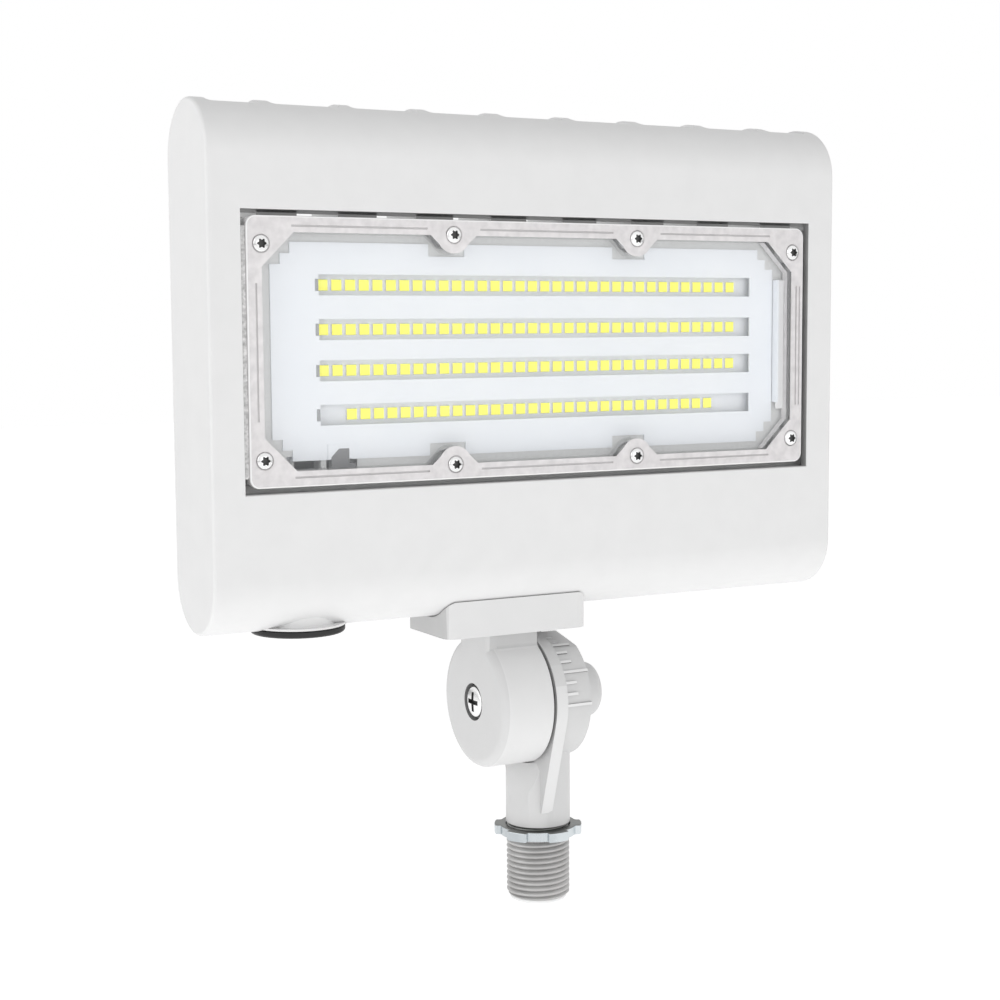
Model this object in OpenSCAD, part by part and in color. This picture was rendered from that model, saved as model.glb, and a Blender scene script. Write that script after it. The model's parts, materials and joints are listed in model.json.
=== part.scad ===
// Flood light: a finned die-cast head on a tilting knuckle with a half inch threaded stem.
// Millimetres. The origin is the centre of the lower end of the thread, +Z runs up the
// stem, the lit face looks along -Y, and +X is to the right of someone facing the light.
// The tilt axis runs along X. Depths into the head are measured back from its front face.

/* [Housing] */
// Width of the head across its two flat ends
housing_w = 224; // [212:1:250]
// Height of the head between its rounded lower and upper edges
housing_h = 157.5; // [156:0.5:170]
// Thickness of the head from the front face to the backs of the ribs
housing_t = 33.6; // [33:0.1:36]
// Wall of the front skin and of the driver compartment
skin_t = 3; // [2.4:0.1:3.4]
// Thickness of each flat end wall
end_wall_t = 4.5; // [3.5:0.1:5.5]
// Number of vertical cooling ribs between the end walls
rib_count = 8; // [6:1:10]
// Thickness of each cooling rib
rib_t = 3.5; // [2.5:0.1:5]
// Depth at which the skin stops over the top, and the bays open upwards
skin_reach = 9.7; // [9:0.1:12.5]
// Fillet where a rib meets the inside of the front skin
rib_root_r = 4.5; // [2:0.1:5.5]
// Fillet where a rib meets the edge of the skin over the top
rib_top_r = 1.7; // [1:0.1:2.5]

/* [Window] */
// Distance of the clear lens inside each flat end of the head
lens_side = 12; // [11.5:0.1:14]
// Height of the lens above the bottom of the head
lens_rise = 44.25; // [43.5:0.05:45.5]
// Height of the clear lens
lens_h = 79; // [77.5:0.5:82]
// Gap between the opening in the front skin and each side of the lens
window_side = 1.7; // [1.2:0.1:2.5]
// Gap between that opening and the upper and lower edges of the lens
window_edge = 1.65; // [1.2:0.05:2.5]
// Thickness of the lens at its flange
lens_t = 2.2; // [1.8:0.1:2.5]
// Depth of the lens behind the front face
lens_recess = 0.8; // [0.3:0.1:1.2]
// Radius of the lens corners
lens_corner_r = 3; // [1.5:0.1:4]
// Thickness of the compressed lens gasket
gasket_t = 1.5; // [1:0.1:2]
// Wall round the light tray
tray_wall = 3; // [2.6:0.1:3.4]
// Thickness of the tray floor that carries the light board
floor_t = 4; // [3:0.1:4.5]
// Depth of the tray floor behind the front face
floor_depth = 10.3; // [9.6:0.1:10.8]

/* [Lens screws] */
// Distance of a corner screw from the lens edge, across the width and the height
corner_screw_in = [4.6, 8.15];
// Place of an inner screw, as a distance from the middle of the lens
inner_screw_x = 33.06; // [28:0.1:40]
// Distance of an inner screw from the upper or lower lens edge
inner_screw_in = 4.6; // [4.4:0.1:5]
// Radius of a lens screw head
lens_head_r = 2.5; // [2.2:0.05:2.8]
// Height of a lens screw head
lens_head_h = 1.6; // [1.2:0.1:2]
// Radius of a lens screw thread
lens_screw_r = 1.5; // [1.2:0.05:1.7]

/* [Light board] */
// Pitch of the light packages along a row
led_pitch = 4.49; // [4:0.01:4.6]
// Side of one square light package
led_side = 3.3; // [2.4:0.1:3.5]
// Height of one light package
led_t = 0.7; // [0.5:0.05:0.9]
// Packages left out at each end of the lowest row
lowest_row_inset = 2; // [0:1:4]
// Distance of the outer rows from the line midway between all four
outer_row = 19.3; // [17.5:0.1:20]
// Distance of the inner rows from that line
inner_row = 6.1; // [5:0.1:7]
// Thickness of the aluminium light board
board_t = 1.6; // [1:0.1:2]
// Distance of the light board inside the lens edge, across the width and the height
board_in = [9, 7.5];

/* [Reflector] */
// Distance of the reflector's edge inside the lens edge, across the width and the height
reflector_in = [9.1, 7.25];
// Depth of the reflector's face behind the front face
reflector_depth = 6; // [5.4:0.1:6.6]
// Thickness of the reflector sheet
reflector_t = 0.5; // [0.3:0.05:0.8]
// Height of each slot that a row of packages shines through
slot_h = 6.2; // [5:0.05:7]
// Length of the reflector beyond a slot, both ends together
slot_ends = 24.8; // [20:0.2:30]

/* [Driver compartment] */
// Height of the compartment's roof at the rear, above the bottom of the head
compartment_h = 56.9; // [55:0.1:60]
// Thickness of the compartment's rear wall
rear_wall_t = 6; // [5:0.1:7]
// Thickness of the rear cover
cover_t = 2.2; // [1.6:0.1:2.6]
// Distance of the rear cover inside each flat end of the head
cover_side = 9; // [8.5:0.1:13]
// Height of the rear cover
cover_h = 34.5; // [33:0.5:36]
// Thickness of the rear cover's gasket
cover_gasket_t = 0.8; // [0.5:0.1:1]
// Clearance round the rear cover
cover_gap = 0.3; // [0.2:0.05:0.5]
// Distance of the driver board's right end from the end of the head
driver_end = 27; // [24:0.5:32]
// Height of the driver board
driver_h = 25; // [22:1:25]

/* [Selector port] */
// Distance of the port from the left end of the head
port_in = 32.4; // [28:0.1:42]
// Outer radius of the port flange and of its cap
port_r = 14.5; // [13.6:0.1:15.5]
// Radius of the hole through the port
port_bore_r = 10.5; // [10:0.1:11]
// Height of the lower face of the port flange above the bottom of the head
port_rise = 0.95; // [0.8:0.05:1.2]
// Thickness of the port flange
port_flange_t = 0.6; // [0.4:0.1:0.8]
// Thickness of the cap outside the port
cap_t = 2.25; // [1.8:0.05:3]
// Running clearance of the cap's plug in the port
cap_clear = 0.08; // [0.05:0.01:0.1]
// Full travel of a selector slider
slider_travel = 4; // [3:0.5:4]

/* [Bracket] */
// Width of the bracket plate under the head
plate_w = 51.2; // [49:0.2:56]
// Depth of the bracket plate from front to back
plate_d = 29.3; // [28.4:0.1:30]
// Vertical corner radius of the bracket plate
plate_r = 3.6; // [2:0.1:4]
// Thickness of the plate under the lowest line of the head
plate_t = 6.3; // [5.5:0.1:8]
// Height of the plate's underside above the tilt axis
plate_rise = 23.8; // [23.4:0.1:26]
// Thickness of the gasket between the bracket and the head
bracket_gasket_t = 0.5; // [0.4:0.1:1]
// Half the distance between bracket screws, across and front to back
bracket_screw_at = [19.6, 9.3];
// Radius of the drum at the lower end of the bracket
drum_r = 21.4; // [20.8:0.1:21.8]
// Length of the drum along the tilt axis
drum_w = 17.9; // [17:0.1:20]
// Rounding of the drum's outer edge
drum_round = 3; // [1.5:0.1:4]
// Width of the neck between plate and drum, front to back
neck_d = 21; // [19:0.2:24]
// Fillet where the neck meets the drum
neck_fillet = 2.2; // [1:0.1:3]

/* [Knuckle arm] */
// Height of the tilt axis above the lower end of the thread
knuckle_z = 67; // [66:0.5:75]
// Gap between the drum and the arm's strap
joint_gap = 1.4; // [0.8:0.1:1.6]
// Thickness of the strap
strap_t = 4.1; // [3.8:0.1:5.5]
// Radius of the strap's head round the tilt axis
strap_r = 21; // [20.6:0.1:21.8]
// Place of the strap's left face to the left of the stem axis
strap_x = 4.7; // [4.5:0.1:5.2]
// Radius of the angle scale
scale_r = 20.4; // [19.6:0.1:20.6]
// Width of the angle scale along the tilt axis
scale_w = 9; // [8:0.1:10]
// Distance of the scale's flat from the tilt axis
scale_flat = 19.3; // [18.6:0.1:19.5]
// Radius of the screw boss
boss_r = 9.1; // [7.5:0.1:10]
// Length of the screw boss
boss_w = 12.1; // [10:0.1:13]
// Radius of the hub that turns in the drum
hub_r = 11.95; // [11:0.05:12.5]
// Running clearance of the hub in the drum
hub_clear = 0.06; // [0.03:0.01:0.1]
// Length of the hub inside the drum
hub_w = 8.2; // [7:0.1:9]
// Radius of the clamp screw's thread
clamp_screw_r = 2.5; // [2:0.1:3]
// Radius of the clamp screw's head
clamp_head_r = 5; // [4.4:0.1:5.4]
// Radius of the recess round the clamp screw's head
recess_r = 6.1; // [5.6:0.1:7]
// Outer radius of the stem above the thread
stem_r = 10.65; // [10.65:0.05:11.4]

/* [Thread] */
// Major radius of the half inch straight pipe thread
thread_r = 10.48; // [10.4:0.01:10.5]
// Length of the thread below the stem
thread_len = 24.75; // [22:0.05:28]
// Radius of the wire way through the nipple
wire_r = 8.2; // [7.5:0.1:8.4]
// Outer radius of the nipple's plain end inside the stem
nipple_seat_r = 9.3; // [9.1:0.05:9.5]
// Depth of the nipple's plain end inside the stem
nipple_seat = 10; // [8:0.5:12]
// Thickness of the locknut
nut_t = 2.7; // [2.4:0.1:3.6]
// Radius of the locknut's ring
nut_r = 12.9; // [12:0.1:13.5]
// Radius over the locknut's lugs
nut_lug_r = 14.5; // [14:0.1:16]
// Width of one lug
nut_lug_w = 7.3; // [5:0.1:8]
// Gap between the locknut and the stem's shoulder
nut_gap = 0.9; // [0.2:0.05:1]
// Running clearance of the locknut on the thread
nut_clear = 0.06; // [0.03:0.01:0.1]

/* [Placement] */
// Distance of the stem axis to the right of the middle of the head
stem_offset = 5.6; // [4:0.1:7]
// Distance of the stem axis behind the front face
stem_setback = 18.5; // [18:0.1:19.5]

/* [Hidden] */
$fn = 72;

// Gap left between a clamping face and the piece that swings or slides under it
seat_gap = 0.3;

// Small overshoot that lets a cut pass clean through a wall
cut = 1;

// Places of the head
head_x = -stem_offset;
front_y = -stem_setback;
head_z = knuckle_z + plate_rise + plate_t;
rear_y = front_y + housing_t;
end_r = housing_t / 2;
curve_y = front_y + end_r;
low_curve_z = head_z + end_r;
high_curve_z = head_z + housing_h - end_r;
head_left = head_x - housing_w / 2;
inner_left = head_left + end_wall_t;
inner_w = housing_w - 2 * end_wall_t;
lens_w = housing_w - 2 * lens_side;
window_w = lens_w + 2 * window_side;
window_h = lens_h + 2 * window_edge;
window_z = head_z + lens_rise + lens_h / 2;

// Ribs stand at one pitch, and the end bays are an eighth of a pitch narrower
rib_pitch = housing_w / (rib_count + 0.75);

// Light tray
rim_depth = lens_recess + lens_t + gasket_t;
floor_back = floor_depth + floor_t;
tray_w = lens_w - 0.4;
tray_h = lens_h - 0.4;
tray_top = window_z + tray_h / 2;
tray_bottom = window_z - tray_h / 2;
tray_gap = 2.2;
gap_floor = tray_bottom - tray_gap;
shelf_t = 2.5;

// Lens screws: four near the corners and four along the long edges
corner_dx = lens_w / 2 - corner_screw_in[0];
corner_dz = lens_h / 2 - corner_screw_in[1];
inner_dz = lens_h / 2 - inner_screw_in;
lens_screw_places = [
    for (sx = [-1, 1], sz = [-1, 1]) each [
        [head_x + sx * corner_dx, window_z + sz * corner_dz],
        [head_x + sx * inner_screw_x, window_z + sz * inner_dz]
    ]
];
lens_boss_r = 3.3;
lens_hole_clear = 0.25;
thread_bite = 0.02;
lens_screw_bite = 5;
lens_hole_len = 6.5;
flange_w = 4.75;
scallop_r = 5.6;
counterbore = 0.7;

// Light board rows, highest first, and the shifts of packages and slots to the right
board_w = lens_w - 2 * board_in[0];
board_h = lens_h - 2 * board_in[1];
reflector_w = lens_w - 2 * reflector_in[0];
reflector_h = lens_h - 2 * reflector_in[1];
slot_w = reflector_w - slot_ends;
leds_per_row = floor((slot_w - led_side) / led_pitch);
rows = [outer_row, inner_row, -inner_row, -outer_row];
row_shift = 0.45;
led_shift = 0.7;
slot_shift = 3;
slot_tab = [1.2, 3.6];
// steps cut from each corner of the reflector, across the width and the height
corner_steps = [[6.3, 3.3], [3.2, 6.5]];
// half the width and height of the reflector's notch round an inner lens screw
screw_notch = [6.2, 6.4];
board_front = floor_depth - board_t;

// Driver compartment
roof_z = head_z + compartment_h;
roof_t = 2.8;
shelf_z = gap_floor - shelf_t;
rear_wall_depth = housing_t - rear_wall_t;
cover_w = housing_w - 2 * cover_side;
cover_rise = 2.1;
cover_z = low_curve_z + cover_rise + cover_h / 2;
seat_depth = cover_t + cover_gasket_t;
opening_w = cover_w - 18;
opening_h = cover_h - 6.5;
cover_corner_r = 4;
cover_screw_r = 1.5;
cover_head_r = 2.8;
cover_head_h = 1.7;
cover_screw_len = 9;
cover_boss_r = 4;
cover_corner_in = 4.8;
cover_middle_in = 3.6;
cover_screw_places = [
    for (sz = [-1, 1]) each [
        [
            head_x - cover_w / 2 + cover_corner_in,
            cover_z + sz * (cover_h / 2 - cover_corner_in)
        ],
        [head_x, cover_z + sz * (cover_h / 2 - cover_middle_in)],
        [
            head_x + cover_w / 2 - cover_corner_in,
            cover_z + sz * (cover_h / 2 - cover_corner_in)
        ]
    ]
];

// Selector port, on the lowest line of the head
port_at = [head_left + port_in, curve_y];
port_face_z = head_z + port_rise;
port_h = 12;
port_top_z = head_z + port_h;
port_wall = 3;
port_collar_r = port_bore_r + 1;

// Driver board, right of the port's wall, and the pieces on it by place and size
driver_t = 1.6;
driver_depth = 6.4;
driver_gap = 1.1;
driver_left = port_at[0] + port_bore_r + port_wall + driver_gap;
driver_w = head_left + housing_w - driver_end - driver_left;
driver_rise = 13.6;
driver_z = head_z + driver_rise;
driver_post_r = 3;
driver_post_in = 4;
driver_screw_r = 1.25;
driver_head_r = 2.4;
driver_head_h = 1.5;
driver_screw_len = 5;
driver_screw_places = [
    for (x = [driver_post_in, driver_w - driver_post_in])
        for (z = [driver_post_in, driver_h - driver_post_in])
            [driver_left + x, driver_z + z]
];
can_at = [[30, 12], [46, 12], [64, 12.5]];
can_size = [[6.3, 16], [5, 14], [8, 10]];
varistor_in = [15, 12.5];
varistor_size = [4, 12];
core_at = [82, 3];
core_size = [22, 19, 15];
core_gap = [3, 4];

// Leads from the driver board to the light board's terminal
lead_in = [31, 7.5];
lead_at = [head_x - lens_w / 2 + lead_in[0], window_z - lens_h / 2 + lead_in[1]];
lead_size = [7, 6.6];
lead_r = 0.7;
lead_step = [2.4, 1.5];
lead_drop = 1;
lead_foot_in = [12, 3];
lead_foot_step = 4;
side_hole = [8, 3];
side_hole_gap = 2;
terminal_gap = 0.3;
terminal_x = lead_at[0] + lead_size[0] / 2 + terminal_gap;
terminal_rise = 0.4;
terminal_size = [7, 3.8, 2];
terminal_cut = 2;
cap_gap = 0.3;
plug_h = 6;
plug_wall = 2.4;
oring_t = 1.2;
selector_board_t = 1.6;
switch_size = [9, 4.4, 3.6];
switch_pitch = 7;
slider_size = [2, 1.6, 4.8];
slider_clear = 0.3;

// Bracket
drum_right = -strap_x - joint_gap;
stem_gap = 0.5;
drum_left = drum_right - drum_w;
drum_x = (drum_left + drum_right) / 2;
plate_z = knuckle_z + plate_rise;
bracket_screw_places = [
    for (sx = [-1, 1], sy = [-1, 1])
        [drum_x + sx * bracket_screw_at[0], sy * bracket_screw_at[1]]
];
bracket_screw_r = 2;
bracket_head_r = 3.5;
bracket_head_h = 2.2;
bracket_sink = 1.6;
bracket_socket_r = 1.4;
bracket_boss_r = 4;
bracket_boss_h = 13;
bracket_boss_top = head_z + bracket_boss_h;
bracket_hole_h = 11;
bracket_screw_top = head_z + bracket_hole_h;
wire_hole_r = 5.5;
recess_depth = 3.2;
drum_wall = 3;
washer_t = 0.8;
clamp_seat_x = drum_left + recess_depth - seat_gap;

// Knuckle arm
scale_left = -strap_x + strap_t;
scale_right = scale_left + scale_w;
boss_right = scale_right + boss_w;
boss_round = 2.5;
hub_left = -strap_x - hub_w;
hub_wall = 3.4;
hub_ring_t = 1.7;
scale_wall = 3;
tick_h = 0.5;
tick_w = 0.9;
short_tick = 4;
last_tick = 6.6;
flat_angle = 77;
strap_rise = 5;
strap_foot_z = thread_len + strap_rise;
arm_way_r = 4.2;
arm_way_x = 1.6;
cross_reach = 2.4;
cross_w = 0.9;
cross_depth = 1.4;

// Flat cut into the stem's left front under the drum: a point on it, and its lean and turn
notch_at = [-5.2, -9.2];
notch_drop = 24.6;
notch_lean = 16.7;
notch_turn = 19;

// Stem, and the one thread root that is drawn, where the free thread meets the locknut
nut_top = thread_len - nut_gap;
root_w = 0.6;
root_depth = 1.1;
root_z = nut_top - nut_t - seat_gap;
nut_lugs = 6;
nut_turn = 30;
bushing_lip = 1.2;
bushing_depth = 8;
bushing_lip_r = 9.4;
bushing_r = 7.2;

// A flat shape drawn in Y and Z, drawn out along X
module along_x(x0, x1) {
    translate([x0, 0, 0])
        rotate([90, 0, 90])
            linear_extrude(x1 - x0)
                children();
}

// A flat shape drawn in X and Z, drawn out along Y
module along_y(y0, y1) {
    translate([0, y1, 0])
        rotate([90, 0, 0])
            linear_extrude(y1 - y0)
                children();
}

// A flat shape drawn in X and Y, drawn out along Z
module along_z(z0, z1) {
    translate([0, 0, z0])
        linear_extrude(z1 - z0)
            children();
}

// A slice of the head between two depths behind its front face
module at_depth(d0, d1) {
    along_y(front_y + d0, front_y + d1)
        children();
}

// A rectangle with round corners, given by its centre and size
module round_rect(at, size, r) {
    translate([at[0] - size[0] / 2 + r, at[1] - size[1] / 2])
        square([size[0] - 2 * r, size[1]]);
    translate([at[0] - size[0] / 2, at[1] - size[1] / 2 + r])
        square([size[0], size[1] - 2 * r]);
    for (sx = [-1, 1], sy = [-1, 1])
        translate([at[0] + sx * (size[0] / 2 - r), at[1] + sy * (size[1] / 2 - r)])
            circle(r);
}

// Discs of one radius at a list of places
module discs(places, r) {
    for (p = places)
        translate(p)
            circle(r);
}

// Side view of the head: flat faces joined by half circles, drawn in by an inset
module side_profile(inset = 0) {
    for (z = [low_curve_z, high_curve_z])
        translate([curve_y, z])
            circle(end_r - inset);
    translate([front_y + inset, low_curve_z])
        square([housing_t - 2 * inset, high_curve_z - low_curve_z]);
}

// Left side of rib number i, or of the right end wall past the last rib
function rib_left(i) =
    i == rib_count ? inner_left + inner_w : head_x + (i - (rib_count - 1) / 2) * rib_pitch - rib_t / 2;

// Right side of rib number i, or of the left end wall before the first rib
function rib_right(i) =
    i < 0 ? inner_left : head_x + (i - (rib_count - 1) / 2) * rib_pitch + rib_t / 2;

// Plan of the bay on the left of rib i, open to the rear, with filleted front corners
module bay_plan(i, depth, r) {
    x0 = rib_right(i - 1);
    w = rib_left(i) - x0;
    y0 = front_y + depth;
    translate([x0, y0 + r])
        square([w, rear_y + cut - y0 - r]);
    translate([x0 + r, y0])
        square([w - 2 * r, r]);
    for (x = [x0 + r, x0 + w - r])
        translate([x, y0 + r])
            circle(r);
}

// Everything cut out between the ribs
module rib_bays() {
    for (i = [0 : rib_count]) {
        // hollow under the front skin
        intersection() {
            along_z(tray_top, head_z + housing_h)
                bay_plan(i, skin_t, rib_root_r);
            along_x(rib_right(i - 1) - cut, rib_left(i) + cut)
                side_profile(skin_t);
        }
        // opening over the top and down to the tray
        along_z(tray_top, head_z + housing_h + cut)
            bay_plan(i, skin_reach, rib_top_r);
        // channel behind the tray floor
        along_z(roof_z, tray_top + cut)
            bay_plan(i, floor_back, rib_top_r);
    }
}

// Space between the skin and the tray, seen as the dark gap round the lens
module tray_surround() {
    difference() {
        at_depth(skin_t - cut, floor_depth)
            translate([inner_left, gap_floor])
                square([inner_w, tray_top - gap_floor]);
        at_depth(rim_depth, floor_depth + cut)
            round_rect([head_x, window_z], [tray_w, tray_h], lens_corner_r);
        at_depth(-cut, skin_t)
            translate([head_left, head_z])
                square([housing_w, housing_h]);
    }
}

// Hollow of the light tray, with a boss left standing for each lens screw
module tray_hollow() {
    difference() {
        at_depth(rim_depth - cut, floor_depth)
            translate([head_x - tray_w / 2 + tray_wall, window_z - tray_h / 2 + tray_wall])
                square([tray_w - 2 * tray_wall, tray_h - 2 * tray_wall]);
        at_depth(rim_depth, floor_depth + cut)
            discs(lens_screw_places, lens_boss_r);
    }
}

// Hollow of the driver compartment
module compartment_hollow() {
    difference() {
        along_x(inner_left, inner_left + inner_w)
            union() {
                intersection() {
                    side_profile(skin_t);
                    translate([front_y, head_z])
                        square([rear_wall_depth, shelf_z - head_z]);
                }
                translate([front_y + floor_back, low_curve_z])
                    square([rear_wall_depth - floor_back, roof_z - roof_t - low_curve_z]);
            }
        // bosses for the bracket screws
        along_z(head_z, bracket_boss_top)
            discs(bracket_screw_places, bracket_boss_r);
        // wall of the selector port
        along_z(head_z, port_top_z)
            translate(port_at)
                circle(port_bore_r + port_wall);
        // posts for the driver board and bosses for the cover screws
        at_depth(0, driver_depth)
            discs(driver_screw_places, driver_post_r);
        at_depth(rear_wall_depth - cover_screw_len, rear_wall_depth + cut)
            discs(cover_screw_places, cover_boss_r);
    }
}

// Opening at the rear, and the seat of its cover
module rear_opening() {
    at_depth(housing_t - seat_depth, housing_t + cut)
        round_rect(
            [head_x, cover_z],
            [cover_w + 2 * cover_gap, cover_h + 2 * cover_gap],
            cover_corner_r + cover_gap
        );
    difference() {
        at_depth(rear_wall_depth - cut, housing_t)
            round_rect([head_x, cover_z], [opening_w, opening_h], cover_corner_r);
        at_depth(rear_wall_depth - 2 * cut, housing_t + cut)
            discs(cover_screw_places, cover_boss_r);
    }
}

// Die-cast head: front skin, end walls, ribs, light tray and driver compartment
module housing() {
    color("whitesmoke")
        difference() {
            union() {
                along_x(head_left, head_left + housing_w)
                    side_profile();
                // thin round flange of the selector port
                along_z(port_face_z, port_face_z + port_flange_t)
                    translate(port_at)
                        circle(port_r);
                // collar that closes the port's wall under the rounded edge of the head
                along_z(port_face_z, low_curve_z)
                    translate(port_at)
                        circle(port_collar_r);
            }
            rib_bays();
            tray_surround();
            tray_hollow();
            compartment_hollow();
            rear_opening();
            at_depth(-cut, skin_t)
                translate([head_x - window_w / 2, window_z - window_h / 2])
                    square([window_w, window_h]);
            at_depth(rim_depth - cut, rim_depth + lens_hole_len)
                discs(lens_screw_places, lens_screw_r + thread_bite);
            at_depth(rear_wall_depth - cover_screw_len + cut, housing_t)
                discs(cover_screw_places, cover_screw_r + thread_bite);
            at_depth(skin_t - 1, driver_depth + cut)
                discs(driver_screw_places, driver_screw_r + thread_bite);
            along_z(head_z - cut, bracket_screw_top)
                discs(bracket_screw_places, bracket_screw_r + thread_bite);
            along_z(head_z - cut, low_curve_z)
                translate([drum_x, 0])
                    circle(wire_hole_r);
            along_z(head_z - cut, port_top_z + cut)
                translate(port_at)
                    circle(port_bore_r);
            // shallow round seat that the cap sits in
            along_z(head_z - cut, port_face_z)
                translate(port_at)
                    circle(port_r + seat_gap);
            // way for the leads from the compartment to the light board, and a drain beside it
            at_depth(floor_depth - cut, floor_back + cut) {
                translate(lead_at)
                    square(lead_size, center = true);
                translate([
                    lead_at[0] - lead_size[0] / 2 - side_hole[0] - side_hole_gap,
                    lead_at[1] - lead_size[1] / 2
                ])
                    square(side_hole);
            }
        }
}

// Scallop of the flange round a screw: a disc with straight flanks at 45 degrees
module scallop(dir) {
    base = scallop_r * sqrt(2);
    side = base / 2 - 0.2;
    circle(scallop_r);
    polygon([[-base, 0], [base, 0], [side, dir * side], [-side, dir * side]]);
}

// Outline of the lens window inside its flange: cut corners and scallops round the screws
module lens_window() {
    difference() {
        translate([head_x, window_z])
            square([lens_w - 2 * flange_w, lens_h - 2 * flange_w], center = true);
        for (sx = [-1, 1], sz = [-1, 1]) {
            translate([head_x + sx * corner_dx, window_z + sz * corner_dz])
                rotate(-sx * sz * 45)
                    square([24, 9.5], center = true);
            translate([head_x + sx * inner_screw_x, window_z + sz * inner_dz])
                scallop(-sz);
        }
    }
}

// Clear cover with a raised flange and a hole for each screw
module lens() {
    color("lightcyan", 0.4)
        difference() {
            at_depth(lens_recess, lens_recess + lens_t)
                round_rect([head_x, window_z], [lens_w, lens_h], lens_corner_r);
            at_depth(lens_recess - cut, lens_recess + 0.5)
                lens_window();
            at_depth(lens_recess - cut, lens_recess + lens_t + cut)
                discs(lens_screw_places, lens_screw_r + lens_hole_clear);
            at_depth(lens_recess - cut, lens_recess + counterbore)
                discs(lens_screw_places, lens_head_r + lens_hole_clear);
        }
}

// Silicone ring pressed between the lens and the tray rim
module lens_gasket() {
    ring_out = 0.8;
    ring_w = 1.8;
    color("dimgray")
        at_depth(lens_recess + lens_t, rim_depth)
            difference() {
                round_rect(
                    [head_x, window_z],
                    [lens_w - 2 * ring_out, lens_h - 2 * ring_out],
                    lens_corner_r - ring_out
                );
                translate([
                    head_x - lens_w / 2 + ring_out + ring_w,
                    window_z - lens_h / 2 + ring_out + ring_w
                ])
                    square([lens_w - 2 * (ring_out + ring_w), lens_h - 2 * (ring_out + ring_w)]);
            }
}

// Screw along Y with a round head towards the front (dir 1) or the rear (dir -1)
module screw_y(p, y, dir, head_r, head_h, r, len) {
    translate([p[0], y, p[1]])
        rotate([dir > 0 ? -90 : 90, 0, 0])
            rotate_extrude()
                polygon([
                    [0, -head_h * 0.35], [head_r * 0.45, -head_h * 0.35], [head_r * 0.45, -head_h],
                    [head_r * 0.8, -head_h * 0.9], [head_r, -head_h * 0.45], [head_r, 0],
                    [r, 0], [r, len - r], [r * 0.4, len], [0, len]
                ]);
}

// Eight pan head screws that hold the lens
module lens_screws() {
    color("lightgray")
        for (p = lens_screw_places)
            screw_y(
                p, front_y + lens_recess + counterbore, 1,
                lens_head_r, lens_head_h, lens_screw_r,
                lens_t + gasket_t - counterbore + lens_screw_bite
            );
}

// Height of row number k of the packages, highest first
function row_z(k) = window_z + row_shift + rows[k];

// Outline of the reflector sheet, drawn in by an inset: stepped corners and a lead notch
module reflector_plan(inset = 0) {
    half = [reflector_w / 2 - inset, reflector_h / 2 - inset];
    difference() {
        translate([head_x, window_z])
            square(2 * half, center = true);
        for (sx = [-1, 1], sz = [-1, 1], step = corner_steps)
            translate([head_x + sx * half[0], window_z + sz * half[1]])
                square(2 * step, center = true);
        for (sx = [-1, 1], sz = [-1, 1])
            translate([head_x + sx * inner_screw_x, window_z + sz * inner_dz])
                square(2 * (screw_notch + [inset, inset]), center = true);
        translate([lead_at[0] - lead_size[0] / 2 - inset, window_z - reflector_h / 2 - cut])
            square([
                lead_size[0] + 2 * inset,
                lead_at[1] + lead_size[1] / 2 + inset - window_z + reflector_h / 2 + cut
            ]);
    }
}

// White sheet with folded edges that stands on the light board round the packages
module reflector() {
    color("aliceblue")
        difference() {
            at_depth(reflector_depth, board_front)
                reflector_plan();
            at_depth(reflector_depth + reflector_t, board_front + cut)
                union() {
                    reflector_plan(reflector_t);
                    // the folded edge stops at the notch
                    translate([
                        lead_at[0] - lead_size[0] / 2 - 2 * reflector_t,
                        window_z - reflector_h / 2 - cut
                    ])
                        square([lead_size[0] + 4 * reflector_t, lead_size[1] + reflector_t]);
                }
            for (k = [0 : len(rows) - 1])
                at_depth(reflector_depth - cut, reflector_depth + reflector_t + cut) {
                    translate([head_x + slot_shift - slot_w / 2, row_z(k) - slot_h / 2])
                        square([slot_w, slot_h]);
                    // small tab of the slot at its left end
                    translate([
                        head_x + slot_shift - slot_w / 2 - slot_tab[0],
                        row_z(k) - slot_tab[1] / 2
                    ])
                        square([slot_tab[0] + cut, slot_tab[1]]);
                }
        }
}

// Aluminium board screwed flat to the tray floor
module led_board() {
    color("silver")
        at_depth(board_front, floor_depth)
            difference() {
                translate([head_x, window_z])
                    square([board_w, board_h], center = true);
                discs(lens_screw_places, lens_boss_r + 0.8);
                translate([lead_at[0] - lead_size[0] / 2, window_z - board_h / 2 - cut])
                    square([
                        lead_size[0],
                        lead_at[1] + lead_size[1] / 2 - window_z + board_h / 2 + cut
                    ]);
            }
}

// Every light package, in four rows
module led_packages() {
    color("khaki")
        at_depth(board_front - led_t, board_front)
            for (k = [0 : len(rows) - 1]) {
                skip = k == len(rows) - 1 ? lowest_row_inset : 0;
                for (i = [skip : leds_per_row - 1 - skip])
                    translate([
                        head_x + led_shift + (i - (leds_per_row - 1) / 2) * led_pitch,
                        row_z(k)
                    ])
                        square(led_side, center = true);
            }
}

// Low push-in terminal on the light board, right of the notch for the leads
module led_connector() {
    color("dimgray")
        at_depth(board_front - terminal_size[2], board_front)
            translate([terminal_x, lead_at[1] + terminal_rise])
                polygon([
                    [0, 0], [terminal_size[0], 0], [terminal_size[0], terminal_size[1]],
                    [terminal_cut, terminal_size[1]], [0, terminal_size[1] - terminal_cut]
                ]);
}

// A bent wire: straight runs with a ball at each corner
module wire(points, r) {
    $fn = 16;
    for (i = [0 : len(points) - 2]) {
        run = points[i + 1] - points[i];
        translate(points[i])
            rotate([0, acos(run[2] / norm(run)), atan2(run[1], run[0])])
                cylinder(h = norm(run), r = r);
    }
    for (i = [1 : len(points) - 2])
        translate(points[i])
            sphere(r + 0.05);
}

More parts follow.
